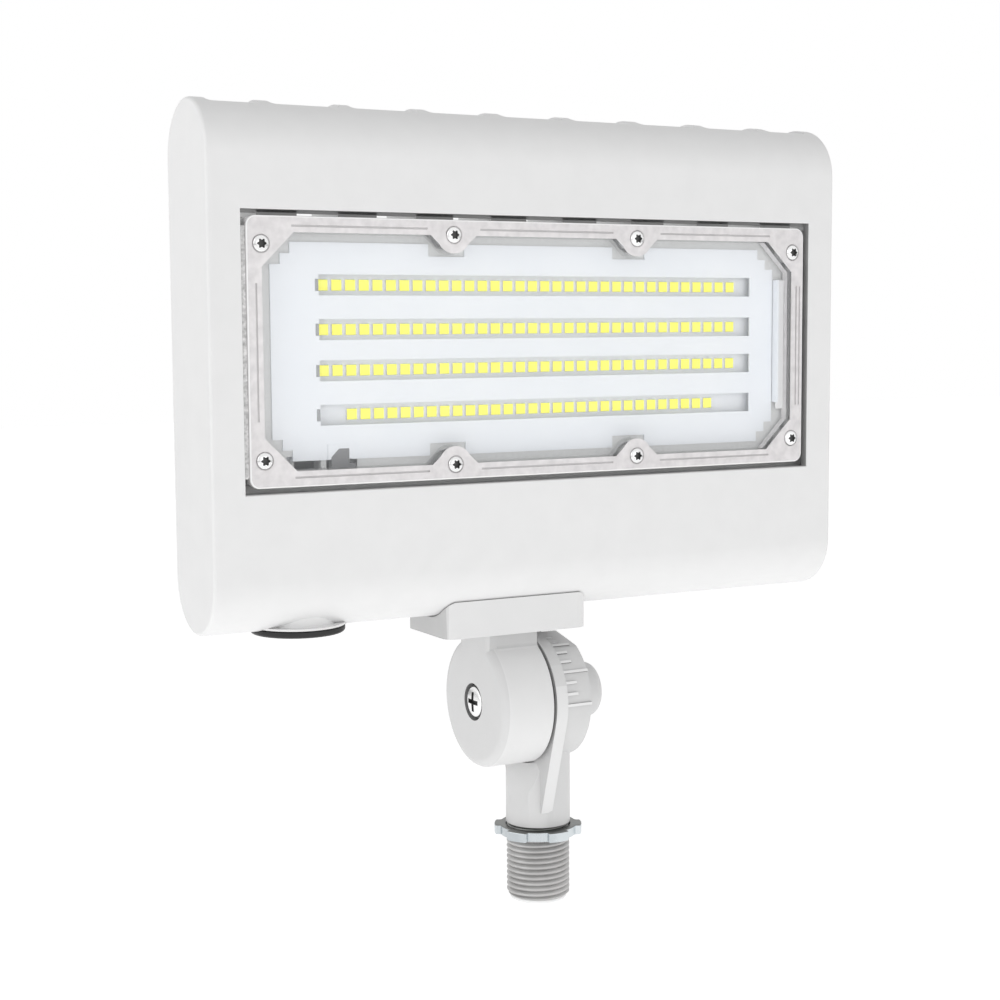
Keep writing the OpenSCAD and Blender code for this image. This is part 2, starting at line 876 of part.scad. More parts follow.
// Two insulated leads from the driver board up to the light board's terminal
module led_leads() {
    tray_y = front_y + board_front - terminal_size[2] / 2;
    rise_y = front_y + floor_back + 2.5;
    board_y = front_y + driver_depth + driver_t;
    color("firebrick")
        for (s = [0, 1]) {
            z = lead_at[1] + terminal_rise + lead_r + lead_step[1] * s;
            x = lead_at[0] + (0.5 - s) * lead_step[0];
            foot_x = driver_left + lead_foot_in[0] - lead_foot_step * s;
            foot_z = driver_z + driver_h - lead_foot_in[1];
            wire([
                [terminal_x, tray_y, z],
                [x, tray_y, z],
                [x, rise_y, z - lead_drop],
                [foot_x, rise_y, foot_z],
                [foot_x, board_y, foot_z]
            ], lead_r);
        }
}

// Flat cover over the driver compartment
module rear_cover() {
    color("whitesmoke")
        at_depth(housing_t - cover_t, housing_t)
            difference() {
                round_rect([head_x, cover_z], [cover_w, cover_h], cover_corner_r);
                discs(cover_screw_places, cover_screw_r + 0.25);
            }
}

// Flat seal under the rear cover
module cover_gasket() {
    color("dimgray")
        at_depth(housing_t - seat_depth, housing_t - cover_t)
            difference() {
                round_rect([head_x, cover_z], [cover_w - 1, cover_h - 1], cover_corner_r);
                difference() {
                    round_rect([head_x, cover_z], [opening_w, opening_h], cover_corner_r);
                    discs(cover_screw_places, cover_boss_r);
                }
                discs(cover_screw_places, cover_screw_r + 0.4);
            }
}

// Six screws through the rear cover
module cover_screws() {
    color("lightgray")
        for (p = cover_screw_places)
            screw_y(
                p, rear_y, -1, cover_head_r, cover_head_h, cover_screw_r,
                rear_wall_t + cover_screw_len - 2.5 * cut
            );
}

// Circuit board of the driver, on four posts
module driver_board() {
    color("seagreen")
        at_depth(driver_depth, driver_depth + driver_t)
            difference() {
                translate([driver_left, driver_z])
                    square([driver_w, driver_h]);
                discs(driver_screw_places, driver_screw_r + 0.2);
            }
}

// Block standing on the driver board, from its left end
module on_driver(along, up, size) {
    translate([driver_left + along, front_y + driver_depth + driver_t, driver_z + up])
        cube([size[0], size[2], size[1]]);
}

// Wound transformer with its core and bobbin
module driver_transformer() {
    color("goldenrod")
        difference() {
            on_driver(core_at[0], core_at[1], core_size);
            for (along = [core_gap[1], core_size[0] - core_gap[0] - core_gap[1]])
                on_driver(
                    core_at[0] + along, core_at[1] - cut,
                    [core_gap[0], core_size[1] + 2 * cut, core_gap[1]]
                );
        }
}

// Round can standing on the driver board
module can(along, up, r, h) {
    translate([driver_left + along, front_y + driver_depth + driver_t, driver_z + up])
        rotate([-90, 0, 0])
            cylinder(h = h, r = r);
}

// Smoothing capacitors, mains choke and heat-shrunk varistor
module driver_capacitors() {
    color("midnightblue") {
        for (i = [0 : len(can_at) - 1])
            can(can_at[i][0], can_at[i][1], can_size[i][0], can_size[i][1]);
        can(driver_w - varistor_in[0], varistor_in[1], varistor_size[0], varistor_size[1]);
    }
}

// Four screws that hold the driver board
module driver_screws() {
    color("lightgray")
        for (p = driver_screw_places)
            screw_y(
                p, front_y + driver_depth + driver_t, -1,
                driver_head_r, driver_head_h, driver_screw_r, driver_screw_len
            );
}

// Plan of the bracket plate, drawn in by an inset
module plate_plan(inset = 0) {
    round_rect([drum_x, 0], [plate_w - 2 * inset, plate_d - 2 * inset], plate_r - inset);
}

// Lower rounding of the head, grown by a gap, as a bar along X under the plate
module head_bar(gap) {
    along_x(drum_x - plate_w, drum_x + plate_w)
        translate([curve_y, low_curve_z])
            circle(end_r + gap);
}

// Side view of neck and drum, with a fillet on both sides
module neck_profile() {
    half = neck_d / 2;
    fillet_y = half + neck_fillet;
    fillet_z = sqrt(pow(drum_r + neck_fillet, 2) - pow(fillet_y, 2));
    reach = drum_r / (drum_r + neck_fillet);
    translate([0, knuckle_z])
        circle(drum_r);
    translate([-half, knuckle_z])
        square([neck_d, plate_rise + cut]);
    for (s = [-1, 1])
        difference() {
            translate([0, knuckle_z])
                polygon([
                    [0, 0], [s * half, fillet_z], [s * fillet_y, fillet_z],
                    [s * fillet_y * reach, fillet_z * reach]
                ]);
            translate([s * fillet_y, knuckle_z + fillet_z])
                circle(neck_fillet);
        }
}

// Cast bracket: saddle plate under the head, neck, and the drum of the tilt joint
module mount_bracket() {
    cavity_left = drum_left + recess_depth + drum_wall;
    color("whitesmoke")
        difference() {
            union() {
                difference() {
                    along_z(plate_z, low_curve_z)
                        plate_plan();
                    head_bar(bracket_gasket_t);
                }
                along_x(drum_left + drum_round, drum_right)
                    neck_profile();
                // drum with its rounded outer edge
                translate([drum_left, 0, knuckle_z])
                    rotate([0, 90, 0])
                        rotate_extrude() {
                            square([drum_r - drum_round, drum_w]);
                            translate([0, drum_round])
                                square([drum_r, drum_w - drum_round]);
                            translate([drum_r - drum_round, drum_round])
                                circle(drum_round);
                        }
                // neck flush with the drum's outer face, with rounded corners
                along_z(knuckle_z, plate_z + cut)
                    union() {
                        translate([drum_left, -neck_d / 2 + drum_round])
                            square([drum_w, neck_d - 2 * drum_round]);
                        for (s = [-1, 1])
                            translate([drum_left + drum_round, s * (neck_d / 2 - drum_round)])
                                circle(drum_round);
                    }
            }
            // recess and hole for the clamp screw
            translate([drum_left - cut, 0, knuckle_z])
                rotate([0, 90, 0])
                    cylinder(h = recess_depth + cut, r = recess_r);
            translate([drum_left, 0, knuckle_z])
                rotate([0, 90, 0])
                    cylinder(h = drum_w, r = clamp_screw_r + 0.3);
            // bore for the hub
            translate([cavity_left, 0, knuckle_z])
                rotate([0, 90, 0])
                    cylinder(h = drum_right - cavity_left + cut, r = hub_r + hub_clear);
            // wire way up into the head
            along_z(knuckle_z, low_curve_z)
                translate([drum_x, 0])
                    circle(wire_hole_r);
            along_z(plate_z - cut, low_curve_z)
                discs(bracket_screw_places, bracket_screw_r + 0.25);
            along_z(plate_z - cut, plate_z + bracket_sink)
                discs(bracket_screw_places, bracket_head_r + 0.3);
        }
}

// Thin curved seal between the saddle plate and the head
module bracket_gasket() {
    color("dimgray")
        difference() {
            along_z(plate_z, low_curve_z - end_r * 0.35)
                plate_plan(0.5);
            head_bar(0);
            difference() {
                along_z(plate_z - cut, low_curve_z)
                    plate_plan(-cut);
                head_bar(bracket_gasket_t);
            }
            along_z(plate_z - cut, low_curve_z)
                discs(bracket_screw_places, bracket_screw_r + 0.25);
            along_z(plate_z - cut, low_curve_z)
                translate([drum_x, 0])
                    circle(wire_hole_r);
        }
}

// Four screws up through the saddle plate into the head
module bracket_screws() {
    color("lightgray")
        for (p = bracket_screw_places)
            translate([p[0], p[1], plate_z + bracket_sink])
                rotate_extrude()
                    polygon([
                        [0, -bracket_head_h * 0.4], [bracket_socket_r, -bracket_head_h * 0.4],
                        [bracket_socket_r, -bracket_head_h],
                        [bracket_head_r * 0.8, -bracket_head_h],
                        [bracket_head_r, -bracket_head_h * 0.6], [bracket_head_r, 0],
                        [bracket_screw_r, 0],
                        [bracket_screw_r, bracket_screw_top - plate_z - bracket_sink - cut],
                        [0, bracket_screw_top - plate_z - bracket_sink - cut]
                    ]);
}

// Black cap with a hollow plug that pulls straight down out of the port
module selector_cap() {
    plug_r = port_bore_r - cap_clear;
    top_z = port_face_z - cap_gap;
    groove_z = port_face_z + plug_h / 2;
    color("black")
        translate([port_at[0], port_at[1], 0])
            difference() {
                union() {
                    translate([0, 0, port_face_z - cap_t])
                        rotate_extrude()
                            polygon([
                                [0, 0], [port_r - 0.6, 0], [port_r, 0.6],
                                [port_r, cap_t - cap_gap], [0, cap_t - cap_gap]
                            ]);
                    translate([0, 0, top_z - cut])
                        cylinder(h = plug_h + cap_gap + cut, r = plug_r);
                }
                translate([0, 0, top_z])
                    cylinder(h = plug_h + cap_gap + cut, r = plug_r - plug_wall);
                translate([0, 0, groove_z - oring_t / 2])
                    rotate_extrude()
                        translate([port_bore_r - 2 * cap_clear - oring_t, 0])
                            square([oring_t + cut, oring_t]);
            }
}

// Seal ring in the groove of the cap's plug
module cap_oring() {
    color("dimgray")
        translate([port_at[0], port_at[1], port_face_z + plug_h / 2])
            rotate_extrude()
                translate([port_bore_r - 2 * cap_clear - oring_t / 2, 0])
                    circle(oring_t / 2);
}

// Small board over the port that carries the two selector switches
module selector_board() {
    color("seagreen")
        along_z(port_top_z, port_top_z + selector_board_t)
            translate(port_at)
                square([2 * port_bore_r + 4, 2 * port_bore_r - 1], center = true);
}

// Two slide switches that hang under the selector board, side by side
module selector_switches() {
    slot = [slider_size[0] + slider_travel + 2 * slider_clear, slider_size[1] + 2 * slider_clear];
    color("dimgray")
        for (s = [-1, 1])
            along_z(port_top_z - switch_size[2], port_top_z)
                translate(port_at + [0, s * switch_pitch / 2])
                    difference() {
                        square([switch_size[0], switch_size[1]], center = true);
                        square(slot, center = true);
                    }
}

// Slider of one selector switch, in its middle position
module slider(side) {
    translate([
        port_at[0] - slider_size[0] / 2,
        port_at[1] + side * switch_pitch / 2 - slider_size[1] / 2,
        port_top_z - slider_clear - slider_size[2]
    ])
        cube(slider_size);
}

// Slider that sets the power
module power_slider() {
    color("ivory")
        slider(-1);
}

// Slider that sets the colour of the light
module colour_slider() {
    color("ivory")
        slider(1);
}

// Side view of the strap: round head and straight edges that close in on the stem
module strap_profile() {
    foot = stem_r - 0.2;
    drop = knuckle_z - strap_foot_z;
    // tangent from the foot of the strap's edge to its round head
    away = sqrt(foot * foot + drop * drop);
    lean = asin(strap_r / away) - atan2(foot, drop);
    touch = [strap_r * cos(lean), -strap_r * sin(lean)];
    translate([0, knuckle_z])
        circle(strap_r);
    polygon([
        [-foot, strap_foot_z], [foot, strap_foot_z],
        [touch[0], knuckle_z + touch[1]], [-touch[0], knuckle_z + touch[1]]
    ]);
}

// Length of the raised line at an angle: full every thirty degrees, cut short on the flat
function tick_len(a) = a == 60 ? last_tick : a % 30 == 0 ? scale_w : short_tick;

// Distance of the scale's surface from the tilt axis at an angle, less where its flat is
function scale_at(a) =
    min(scale_r, abs(a - flat_angle) < 60 ? scale_flat / cos(a - flat_angle) : scale_r);

// Angle scale: a ring with a flat, and a raised line every ten degrees
module angle_scale() {
    difference() {
        translate([scale_left, 0, knuckle_z])
            rotate([0, 90, 0])
                cylinder(h = scale_w, r = scale_r);
        translate([0, 0, knuckle_z])
            rotate([-flat_angle, 0, 0])
                translate([scale_left - cut, -scale_flat - 5, -scale_r])
                    cube([scale_w + 2 * cut, 5, 2 * scale_r]);
    }
    for (a = [for (t = [0 : 10 : 80]) t, for (t = [100 : 10 : 180]) t])
        translate([0, 0, knuckle_z])
            rotate([-a, 0, 0])
                translate([scale_left - tick_h, -scale_at(a) - tick_h, -tick_w / 2])
                    cube([tick_len(a) + tick_h, tick_h + cut, tick_w]);
}

// Flat cut in the stem under the drum, from the front and the left
module stem_notch() {
    reach = 2 * stem_r;
    translate([notch_at[0], notch_at[1], knuckle_z - notch_drop])
        rotate([0, notch_lean, notch_turn])
            translate([-reach, -reach, -reach])
                cube([reach, 2 * reach, 2 * reach]);
}

// Cast arm: stem, strap, angle scale, screw boss and the hub that turns in the drum
module knuckle_arm() {
    color("whitesmoke")
        difference() {
            union() {
                difference() {
                    translate([0, 0, thread_len])
                        cylinder(h = knuckle_z - thread_len - 8, r = stem_r);
                    // room for the drum
                    translate([-stem_r - cut, 0, knuckle_z])
                        rotate([0, 90, 0])
                            cylinder(h = stem_r + cut - strap_x, r = drum_r + stem_gap);
                    stem_notch();
                }
                along_x(-strap_x, scale_left)
                    strap_profile();
                angle_scale();
                // screw boss with a rounded end
                translate([scale_right - cut, 0, knuckle_z])
                    rotate([0, 90, 0])
                        rotate_extrude() {
                            square([boss_r, boss_w + cut - boss_round]);
                            square([boss_r - boss_round, boss_w + cut]);
                            translate([boss_r - boss_round, boss_w + cut - boss_round])
                                circle(boss_round);
                        }
                // hub in the drum
                translate([hub_left, 0, knuckle_z])
                    rotate([0, 90, 0])
                        cylinder(h = hub_w + cut, r = hub_r);
            }
            // groove for the seal ring on the hub
            translate([hub_left + hub_w / 2 - hub_ring_t / 2, 0, knuckle_z])
                rotate([0, 90, 0])
                    rotate_extrude()
                        translate([hub_r - hub_clear - hub_ring_t, 0])
                            square([hub_ring_t + cut, hub_ring_t]);
            // hollow of hub and scale
            translate([hub_left - cut, 0, knuckle_z])
                rotate([0, 90, 0])
                    cylinder(h = scale_right - scale_wall - hub_left + cut, r = hub_r - hub_wall);
            // thread for the clamp screw
            translate([scale_right - scale_wall - cut, 0, knuckle_z])
                rotate([0, 90, 0])
                    cylinder(h = boss_w + scale_wall - 3, r = clamp_screw_r + thread_bite);
            // wire way up the stem
            translate([0, 0, thread_len - cut])
                cylinder(h = nipple_seat + cut, r = nipple_seat_r + thread_bite);
            translate([arm_way_x, 0, thread_len])
                cylinder(h = knuckle_z - thread_len, r = arm_way_r);
        }
}

// Seal ring on the hub
module hub_oring() {
    color("dimgray")
        translate([hub_left + hub_w / 2, 0, knuckle_z])
            rotate([0, 90, 0])
                rotate_extrude()
                    translate([hub_r - hub_clear - hub_ring_t / 2, 0])
                        circle(hub_ring_t / 2);
}

// Screw with a crossed recess that clamps drum and arm together
module clamp_screw() {
    head_h = 2.2;
    seat_x = clamp_seat_x - washer_t;
    tip_x = scale_right + boss_w - 5;
    color("lightgray")
        difference() {
            union() {
                translate([seat_x - head_h, 0, knuckle_z])
                    rotate([0, 90, 0])
                        rotate_extrude()
                            polygon([
                                [0, 0], [clamp_head_r * 0.6, 0], [clamp_head_r * 0.88, head_h * 0.25],
                                [clamp_head_r, head_h * 0.6], [clamp_head_r, head_h], [0, head_h]
                            ]);
                translate([seat_x - 0.5, 0, knuckle_z])
                    rotate([0, 90, 0])
                        cylinder(h = tip_x - seat_x + 0.5, r = clamp_screw_r);
            }
            translate([seat_x - head_h - cut, -cross_w / 2, knuckle_z - cross_reach])
                cube([cut + cross_depth, cross_w, 2 * cross_reach]);
            translate([seat_x - head_h - cut, -cross_reach, knuckle_z - cross_w / 2])
                cube([cut + cross_depth, 2 * cross_reach, cross_w]);
        }
}

// Washer under the clamp screw's head
module clamp_washer() {
    color("lightgray")
        translate([clamp_seat_x - washer_t, 0, knuckle_z])
            rotate([0, 90, 0])
                difference() {
                    cylinder(h = washer_t, r = recess_r - 0.3);
                    translate([0, 0, -cut])
                        cylinder(h = washer_t + 2 * cut, r = clamp_screw_r + 0.15);
                }
}

// Half inch nipple: threaded below, with a plain end pressed into the stem
module threaded_nipple() {
    color("darkgray")
        difference() {
            union() {
                cylinder(h = thread_len, r = thread_r);
                translate([0, 0, thread_len - cut])
                    cylinder(h = nipple_seat + cut, r = nipple_seat_r);
            }
            // one thread root
            rotate_extrude()
                translate([thread_r - root_depth, root_z])
                    square([root_depth + cut, root_w]);
            translate([0, 0, -cut])
                cylinder(h = thread_len + nipple_seat + 2 * cut, r = wire_r);
        }
}

// Plastic bushing that guards the wires at the open end
module insulating_bushing() {
    color("white")
        difference() {
            union() {
                translate([0, 0, -bushing_lip])
                    cylinder(h = bushing_lip, r = bushing_lip_r);
                translate([0, 0, -0.1])
                    cylinder(h = bushing_depth, r = wire_r - 0.02);
            }
            translate([0, 0, -bushing_lip - cut])
                cylinder(h = bushing_depth + bushing_lip + 2 * cut, r = bushing_r);
        }
}

// Lugged nut that runs up the thread against the stem's shoulder
module locknut() {
    color("silver")
        along_z(nut_top - nut_t, nut_top)
            difference() {
                union() {
                    circle(nut_r);
                    for (i = [0 : nut_lugs - 1])
                        intersection() {
                            circle(nut_lug_r);
                            rotate(nut_turn + i * 360 / nut_lugs)
                                translate([0, -nut_lug_w / 2])
                                    square([nut_lug_r + cut, nut_lug_w]);
                        }
                }
                circle(thread_r + nut_clear);
            }
}

housing();
lens();
lens_gasket();
lens_screws();
reflector();
led_board();
led_packages();
led_connector();
led_leads();
rear_cover();
cover_gasket();
cover_screws();
driver_board();
driver_transformer();
driver_capacitors();
driver_screws();
mount_bracket();
bracket_gasket();
bracket_screws();
selector_cap();
cap_oring();
selector_board();
selector_switches();
power_slider();
colour_slider();
knuckle_arm();
hub_oring();
clamp_screw();
clamp_washer();
threaded_nipple();
insulating_bushing();
locknut();
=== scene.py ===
"""Outdoor flood light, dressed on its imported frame.

The head is a white die-cast shell with a clear screwed lens. It tilts on a graduated
knuckle, whose stem ends in a half inch thread with a lugged locknut.
"""
import json
import logging
import math
from collections.abc import Callable, Iterable, Sequence
from dataclasses import dataclass
from enum import Enum

import bpy
from mathutils import Euler, Matrix, Vector


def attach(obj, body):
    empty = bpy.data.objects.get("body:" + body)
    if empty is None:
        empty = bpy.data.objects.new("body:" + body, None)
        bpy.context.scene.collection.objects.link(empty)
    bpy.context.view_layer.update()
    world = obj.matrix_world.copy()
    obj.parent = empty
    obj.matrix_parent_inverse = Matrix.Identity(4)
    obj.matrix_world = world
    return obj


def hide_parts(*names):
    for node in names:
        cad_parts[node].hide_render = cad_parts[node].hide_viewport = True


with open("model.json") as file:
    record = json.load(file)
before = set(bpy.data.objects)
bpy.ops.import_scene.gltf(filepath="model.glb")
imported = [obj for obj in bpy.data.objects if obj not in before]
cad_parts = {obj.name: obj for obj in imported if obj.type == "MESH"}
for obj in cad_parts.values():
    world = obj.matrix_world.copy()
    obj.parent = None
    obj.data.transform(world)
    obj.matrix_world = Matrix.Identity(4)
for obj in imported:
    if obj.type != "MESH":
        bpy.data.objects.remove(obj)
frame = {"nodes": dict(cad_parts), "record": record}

MM = 0.001
LOG = logging.getLogger("flood_light")

Colour = tuple[float, float, float]
Point = tuple[float, float, float]


# Shared modelling steps


def deselect() -> None:
    """Leave nothing selected."""
    if bpy.context.object is not None and bpy.context.object.mode != "OBJECT":
        bpy.ops.object.mode_set(mode="OBJECT")
    bpy.ops.object.select_all(action="DESELECT")


def take(piece: bpy.types.Object) -> bpy.types.Object:
    """Make one piece the only selected and active object.

    Args:
        piece: The object to work on.

    Returns:
        The same object.
    """
    deselect()
    piece.select_set(True)
    bpy.context.view_layer.objects.active = piece
    return piece


def settle(piece: bpy.types.Object) -> bpy.types.Object:
    """Put a piece's place, turn and size into its mesh.

    Args:
        piece: The object to settle at the origin.

    Returns:
        The same object.
    """
    take(piece)
    bpy.ops.object.transform_apply(location=True, rotation=True, scale=True)
    return piece


def apply_modifier(piece: bpy.types.Object, kind: str, **settings: object) -> None:
    """Add one modifier to a piece and apply it.

    Args:
        piece: The object that is changed.
        kind: Blender's name of the modifier type.
        **settings: Values set on the modifier before it is applied.
    """
    take(piece)
    modifier = piece.modifiers.new(kind.title(), kind)
    for key, value in settings.items():
        setattr(modifier, key, value)
    bpy.ops.object.modifier_apply(modifier=modifier.name)


def edit(piece: bpy.types.Object, mode: str = "VERT") -> None:
    """Open a piece in edit mode with nothing selected.

    Args:
        piece: The object to open.
        mode: VERT, EDGE or FACE selection.
    """
    take(piece)
    bpy.ops.object.mode_set(mode="EDIT")
    bpy.ops.mesh.select_mode(type=mode)
    bpy.ops.mesh.select_all(action="DESELECT")


def pick_faces(piece: bpy.types.Object, test: Callable[[Vector, Vector], bool]) -> int:
    """Select the faces that pass a test, and open the piece in edit mode.

    Args:
        piece: The object to look through.
        test: Takes a face's centre in millimetres and its normal.

    Returns:
        How many faces were selected.
    """
    edit(piece, "FACE")
    bpy.ops.object.mode_set(mode="OBJECT")
    found = [face for face in piece.data.polygons if test(face.center / MM, face.normal)]
    for face in found:
        face.select = True
    bpy.ops.object.mode_set(mode="EDIT")
    return len(found)


def pick_edges(piece: bpy.types.Object, test: Callable[[Vector, Vector], bool]) -> int:
    """Select the edges that pass a test, and open the piece in edit mode.

    Args:
        piece: The object to look through.
        test: Takes the two ends of an edge in millimetres.

    Returns:
        How many edges were selected.
    """
    edit(piece, "EDGE")
    bpy.ops.object.mode_set(mode="OBJECT")
    spots = piece.data.vertices
    found = [
        edge for edge in piece.data.edges
        if test(spots[edge.vertices[0]].co / MM, spots[edge.vertices[1]].co / MM)
    ]
    for edge in found:
        edge.select = True
    bpy.ops.object.mode_set(mode="EDIT")
    return len(found)


def cast(node: str, name: str, flat: float = 0.4) -> bpy.types.Object:
    """Copy a CAD node's mesh into a new piece with clean flat faces.

    Args:
        node: The node that is copied.
        name: The new piece's name.
        flat: Largest angle between triangles that are merged into one face, in degrees.

    Returns:
        The new piece.
    """
    piece = bpy.data.objects.new(name, frame["nodes"][node].data.copy())
    bpy.context.scene.collection.objects.link(piece)
    edit(piece)
    bpy.ops.mesh.select_all(action="SELECT")
    bpy.ops.mesh.remove_doubles(threshold=0.000002)
    bpy.ops.mesh.dissolve_limited(angle_limit=math.radians(flat))
    bpy.ops.mesh.customdata_custom_splitnormals_clear()
    bpy.ops.object.mode_set(mode="OBJECT")
    return piece


def soften(piece: bpy.types.Object, width: float, angle: float = 30, steps: int = 2) -> None:
    """Round every edge of a piece that is sharper than an angle.

    Args:
        piece: The object to round.
        width: Width of the rounding in millimetres.
        angle: Smallest angle between two faces that is rounded, in degrees.
        steps: Faces across the rounding.
    """
    apply_modifier(
        piece, "BEVEL", width=width * MM, segments=steps, limit_method="ANGLE",
        angle_limit=math.radians(angle), use_clamp_overlap=True, miter_outer="MITER_ARC",
    )


def smooth(piece: bpy.types.Object, angle: float = 35) -> bpy.types.Object:
    """Shade a piece smooth up to an angle, with flat faces kept flat.

    Args:
        piece: The object to shade.
        angle: Sharpest angle that is shaded smooth, in degrees.

    Returns:
        The same object.
    """
    take(piece)
    bpy.ops.object.shade_smooth_by_angle(angle=math.radians(angle))
    apply_modifier(piece, "WEIGHTED_NORMAL", keep_sharp=True, weight=100)
    return piece


def turn(name: str, profile: Sequence[tuple[float, float]], steps: int = 48, capped: bool = True) -> bpy.types.Object:
    """Build a turned piece round the Z axis, ring by ring.

    Args:
        name: The new piece's name.
        profile: Radius and height of each ring in millimetres.
        steps: Corners of each ring.
        capped: Close both ends with a flat face. Otherwise the last ring meets the first.

    Returns:
        The new piece.
    """
    deselect()
    bpy.ops.mesh.primitive_circle_add(vertices=steps, radius=profile[0][0] * MM)
    piece = bpy.context.object
    piece.name = piece.data.name = name
    bpy.ops.object.mode_set(mode="EDIT")
    bpy.ops.mesh.select_mode(type="VERT")
    bpy.ops.mesh.select_all(action="SELECT")
    bpy.ops.transform.translate(value=(0, 0, profile[0][1] * MM))
    for (r0, z0), (r1, z1) in zip(profile, profile[1:]):
        bpy.ops.mesh.extrude_region_move(TRANSFORM_OT_translate={"value": (0, 0, (z1 - z0) * MM)})
        bpy.ops.transform.resize(value=(r1 / r0, r1 / r0, 1), center_override=(0, 0, z1 * MM))
    bpy.ops.mesh.select_all(action="SELECT")
    bpy.ops.mesh.remove_doubles(threshold=0.000002)
    if capped:
        bpy.ops.mesh.fill_holes(sides=0)
    bpy.ops.mesh.normals_make_consistent(inside=False)
    bpy.ops.object.mode_set(mode="OBJECT")
    return piece


def lobed(name: str, radius: float, wave: float, low: float, high: float, count: int = 6) -> bpy.types.Object:
    """Build a prism whose outline swells and shrinks round the Z axis.

    Args:
        name: The new piece's name.
        radius: Mean radius in millimetres.
        wave: Swell of the outline in millimetres.
        low: Height of its lower end in millimetres.
        high: Height of its upper end in millimetres.
        count: Number of lobes.

    Returns:
        The new piece.
    """
    piece = turn(name, [(radius, low), (radius, high)], steps=6 * count)
    for level in (1.0, 0.5, -0.5, -1.0):
        factor = (radius + wave * level) / radius
        edit(piece)
        bpy.ops.object.mode_set(mode="OBJECT")
        for spot in piece.data.vertices:
            swell = math.cos(count * math.atan2(spot.co.y, spot.co.x))
            spot.select = abs(swell - level) < 0.1 and abs(spot.co.xy.length / MM - radius) < 0.001
        bpy.ops.object.mode_set(mode="EDIT")
        bpy.ops.transform.resize(value=(factor, factor, 1), center_override=(0, 0, 0))
    bpy.ops.object.mode_set(mode="OBJECT")
    return piece


def block(name: str, low: Point, high: Point) -> bpy.types.Object:
    """Add a block between two corners, as the start of a piece or a cutter.

    Args:
        name: The new piece's name.
        low: Its lowest corner in millimetres.
        high: Its highest corner in millimetres.

    Returns:
        The new piece.
    """
    deselect()
    bpy.ops.mesh.primitive_cube_add(size=1)
    piece = bpy.context.object
    piece.name = piece.data.name = name
    piece.scale = [(b - a) * MM for a, b in zip(low, high)]
    piece.location = [(a + b) / 2 * MM for a, b in zip(low, high)]
    return settle(piece)


def carve(piece: bpy.types.Object, cutter: bpy.types.Object, operation: str = "DIFFERENCE") -> None:
    """Cut a piece by another, which is used up.

    Args:
        piece: The object that is cut.
        cutter: The object that cuts it.
        operation: DIFFERENCE, INTERSECT or UNION.
    """
    apply_modifier(piece, "BOOLEAN", operation=operation, object=cutter, solver="EXACT")
    bpy.data.objects.remove(cutter)


def stand(piece: bpy.types.Object, turn_by: Point, place: Point) -> bpy.types.Object:
    """Turn a piece and carry it to its place.

    Args:
        piece: The object to move.
        turn_by: Turns about X, Y and Z in degrees.
        place: Its place in millimetres.

    Returns:
        The same object, settled.
    """
    piece.rotation_euler = Euler([math.radians(angle) for angle in turn_by])
    piece.location = [value * MM for value in place]
    return settle(piece)


def join(name: str, pieces: Iterable[bpy.types.Object]) -> bpy.types.Object:
    """Join pieces into one.

    Args:
        name: Name of the joined piece.
        pieces: The objects to join.

    Returns:
        The joined piece.
    """
    pieces = list(pieces)
    deselect()
    for piece in pieces:
        piece.select_set(True)
    bpy.context.view_layer.objects.active = pieces[0]
    if len(pieces) > 1:
        bpy.ops.object.join()
    pieces[0].name = pieces[0].data.name = name
    return pieces[0]


def repeat(master: bpy.types.Object, places: Sequence[Point]) -> list[bpy.types.Object]:
    """Copy a piece to each of several places, each copy with its own mesh.

    Args:
        master: The piece, modelled at the origin. It becomes the first copy.
        places: Places of the copies in millimetres.

    Returns:
        The copies.
    """
    copies = [master]
    for number, _ in enumerate(places[1:], 2):
        copy = bpy.data.objects.new(f"{master.name}_{number}", master.data.copy())
        bpy.context.scene.collection.objects.link(copy)
        copies.append(copy)
    for copy, place in zip(copies, places):
        copy.location = [value * MM for value in place]
        settle(copy)
    return copies


class Finish(Enum):
    """Names of the finishes, each with the record's material slot it belongs to."""

    COAT = "white_coat"
    ARM_COAT = "arm_coat"
    LENS = "lens_plastic"
    GASKET_AND_GAP_SHADE = "gasket_rubber"
    RING = "ring_rubber"
    REFLECTOR = "reflector_white"
    BOARD = "board_white"
    PHOSPHOR = "phosphor"
    GREEN = "board_green"
    TERMINAL = "terminal_plastic"
    WIRE = "wire_skin"
    SLEEVE = "component_black"
    TAPE = "winding"
    SCREW = "screw_steel"
    NIPPLE = "nipple_zinc"
    NUT = "nut_zinc"
    BUSHING = "bushing_plastic"
    CAP = "cap_black"
    SLIDER = "slider_plastic"
    KNUCKLE = "bracket_coat"
    FLANGE = "lens_flange"
    GROOVE_SHADE = "lens_groove_shade"
    RIM = "lens_rim"
    RECESS_SHADE = "recess_shade"
    ZINC_SHADE = "zinc_painted_dark"
    SOCKET = "screw_recess_shade"
    TAB = "reflector_tab"
    LINER = "tray_liner"
    EDGE = "edge_highlight"
    LIP_REFRACTION = "lens_lip_refraction"
    TICK = "mark_highlight"
    TICK_SIDE = "mark_shade"
    PAINTED_SHADE = "painted_shade_coat"
    PALE = "painted_light_coat"


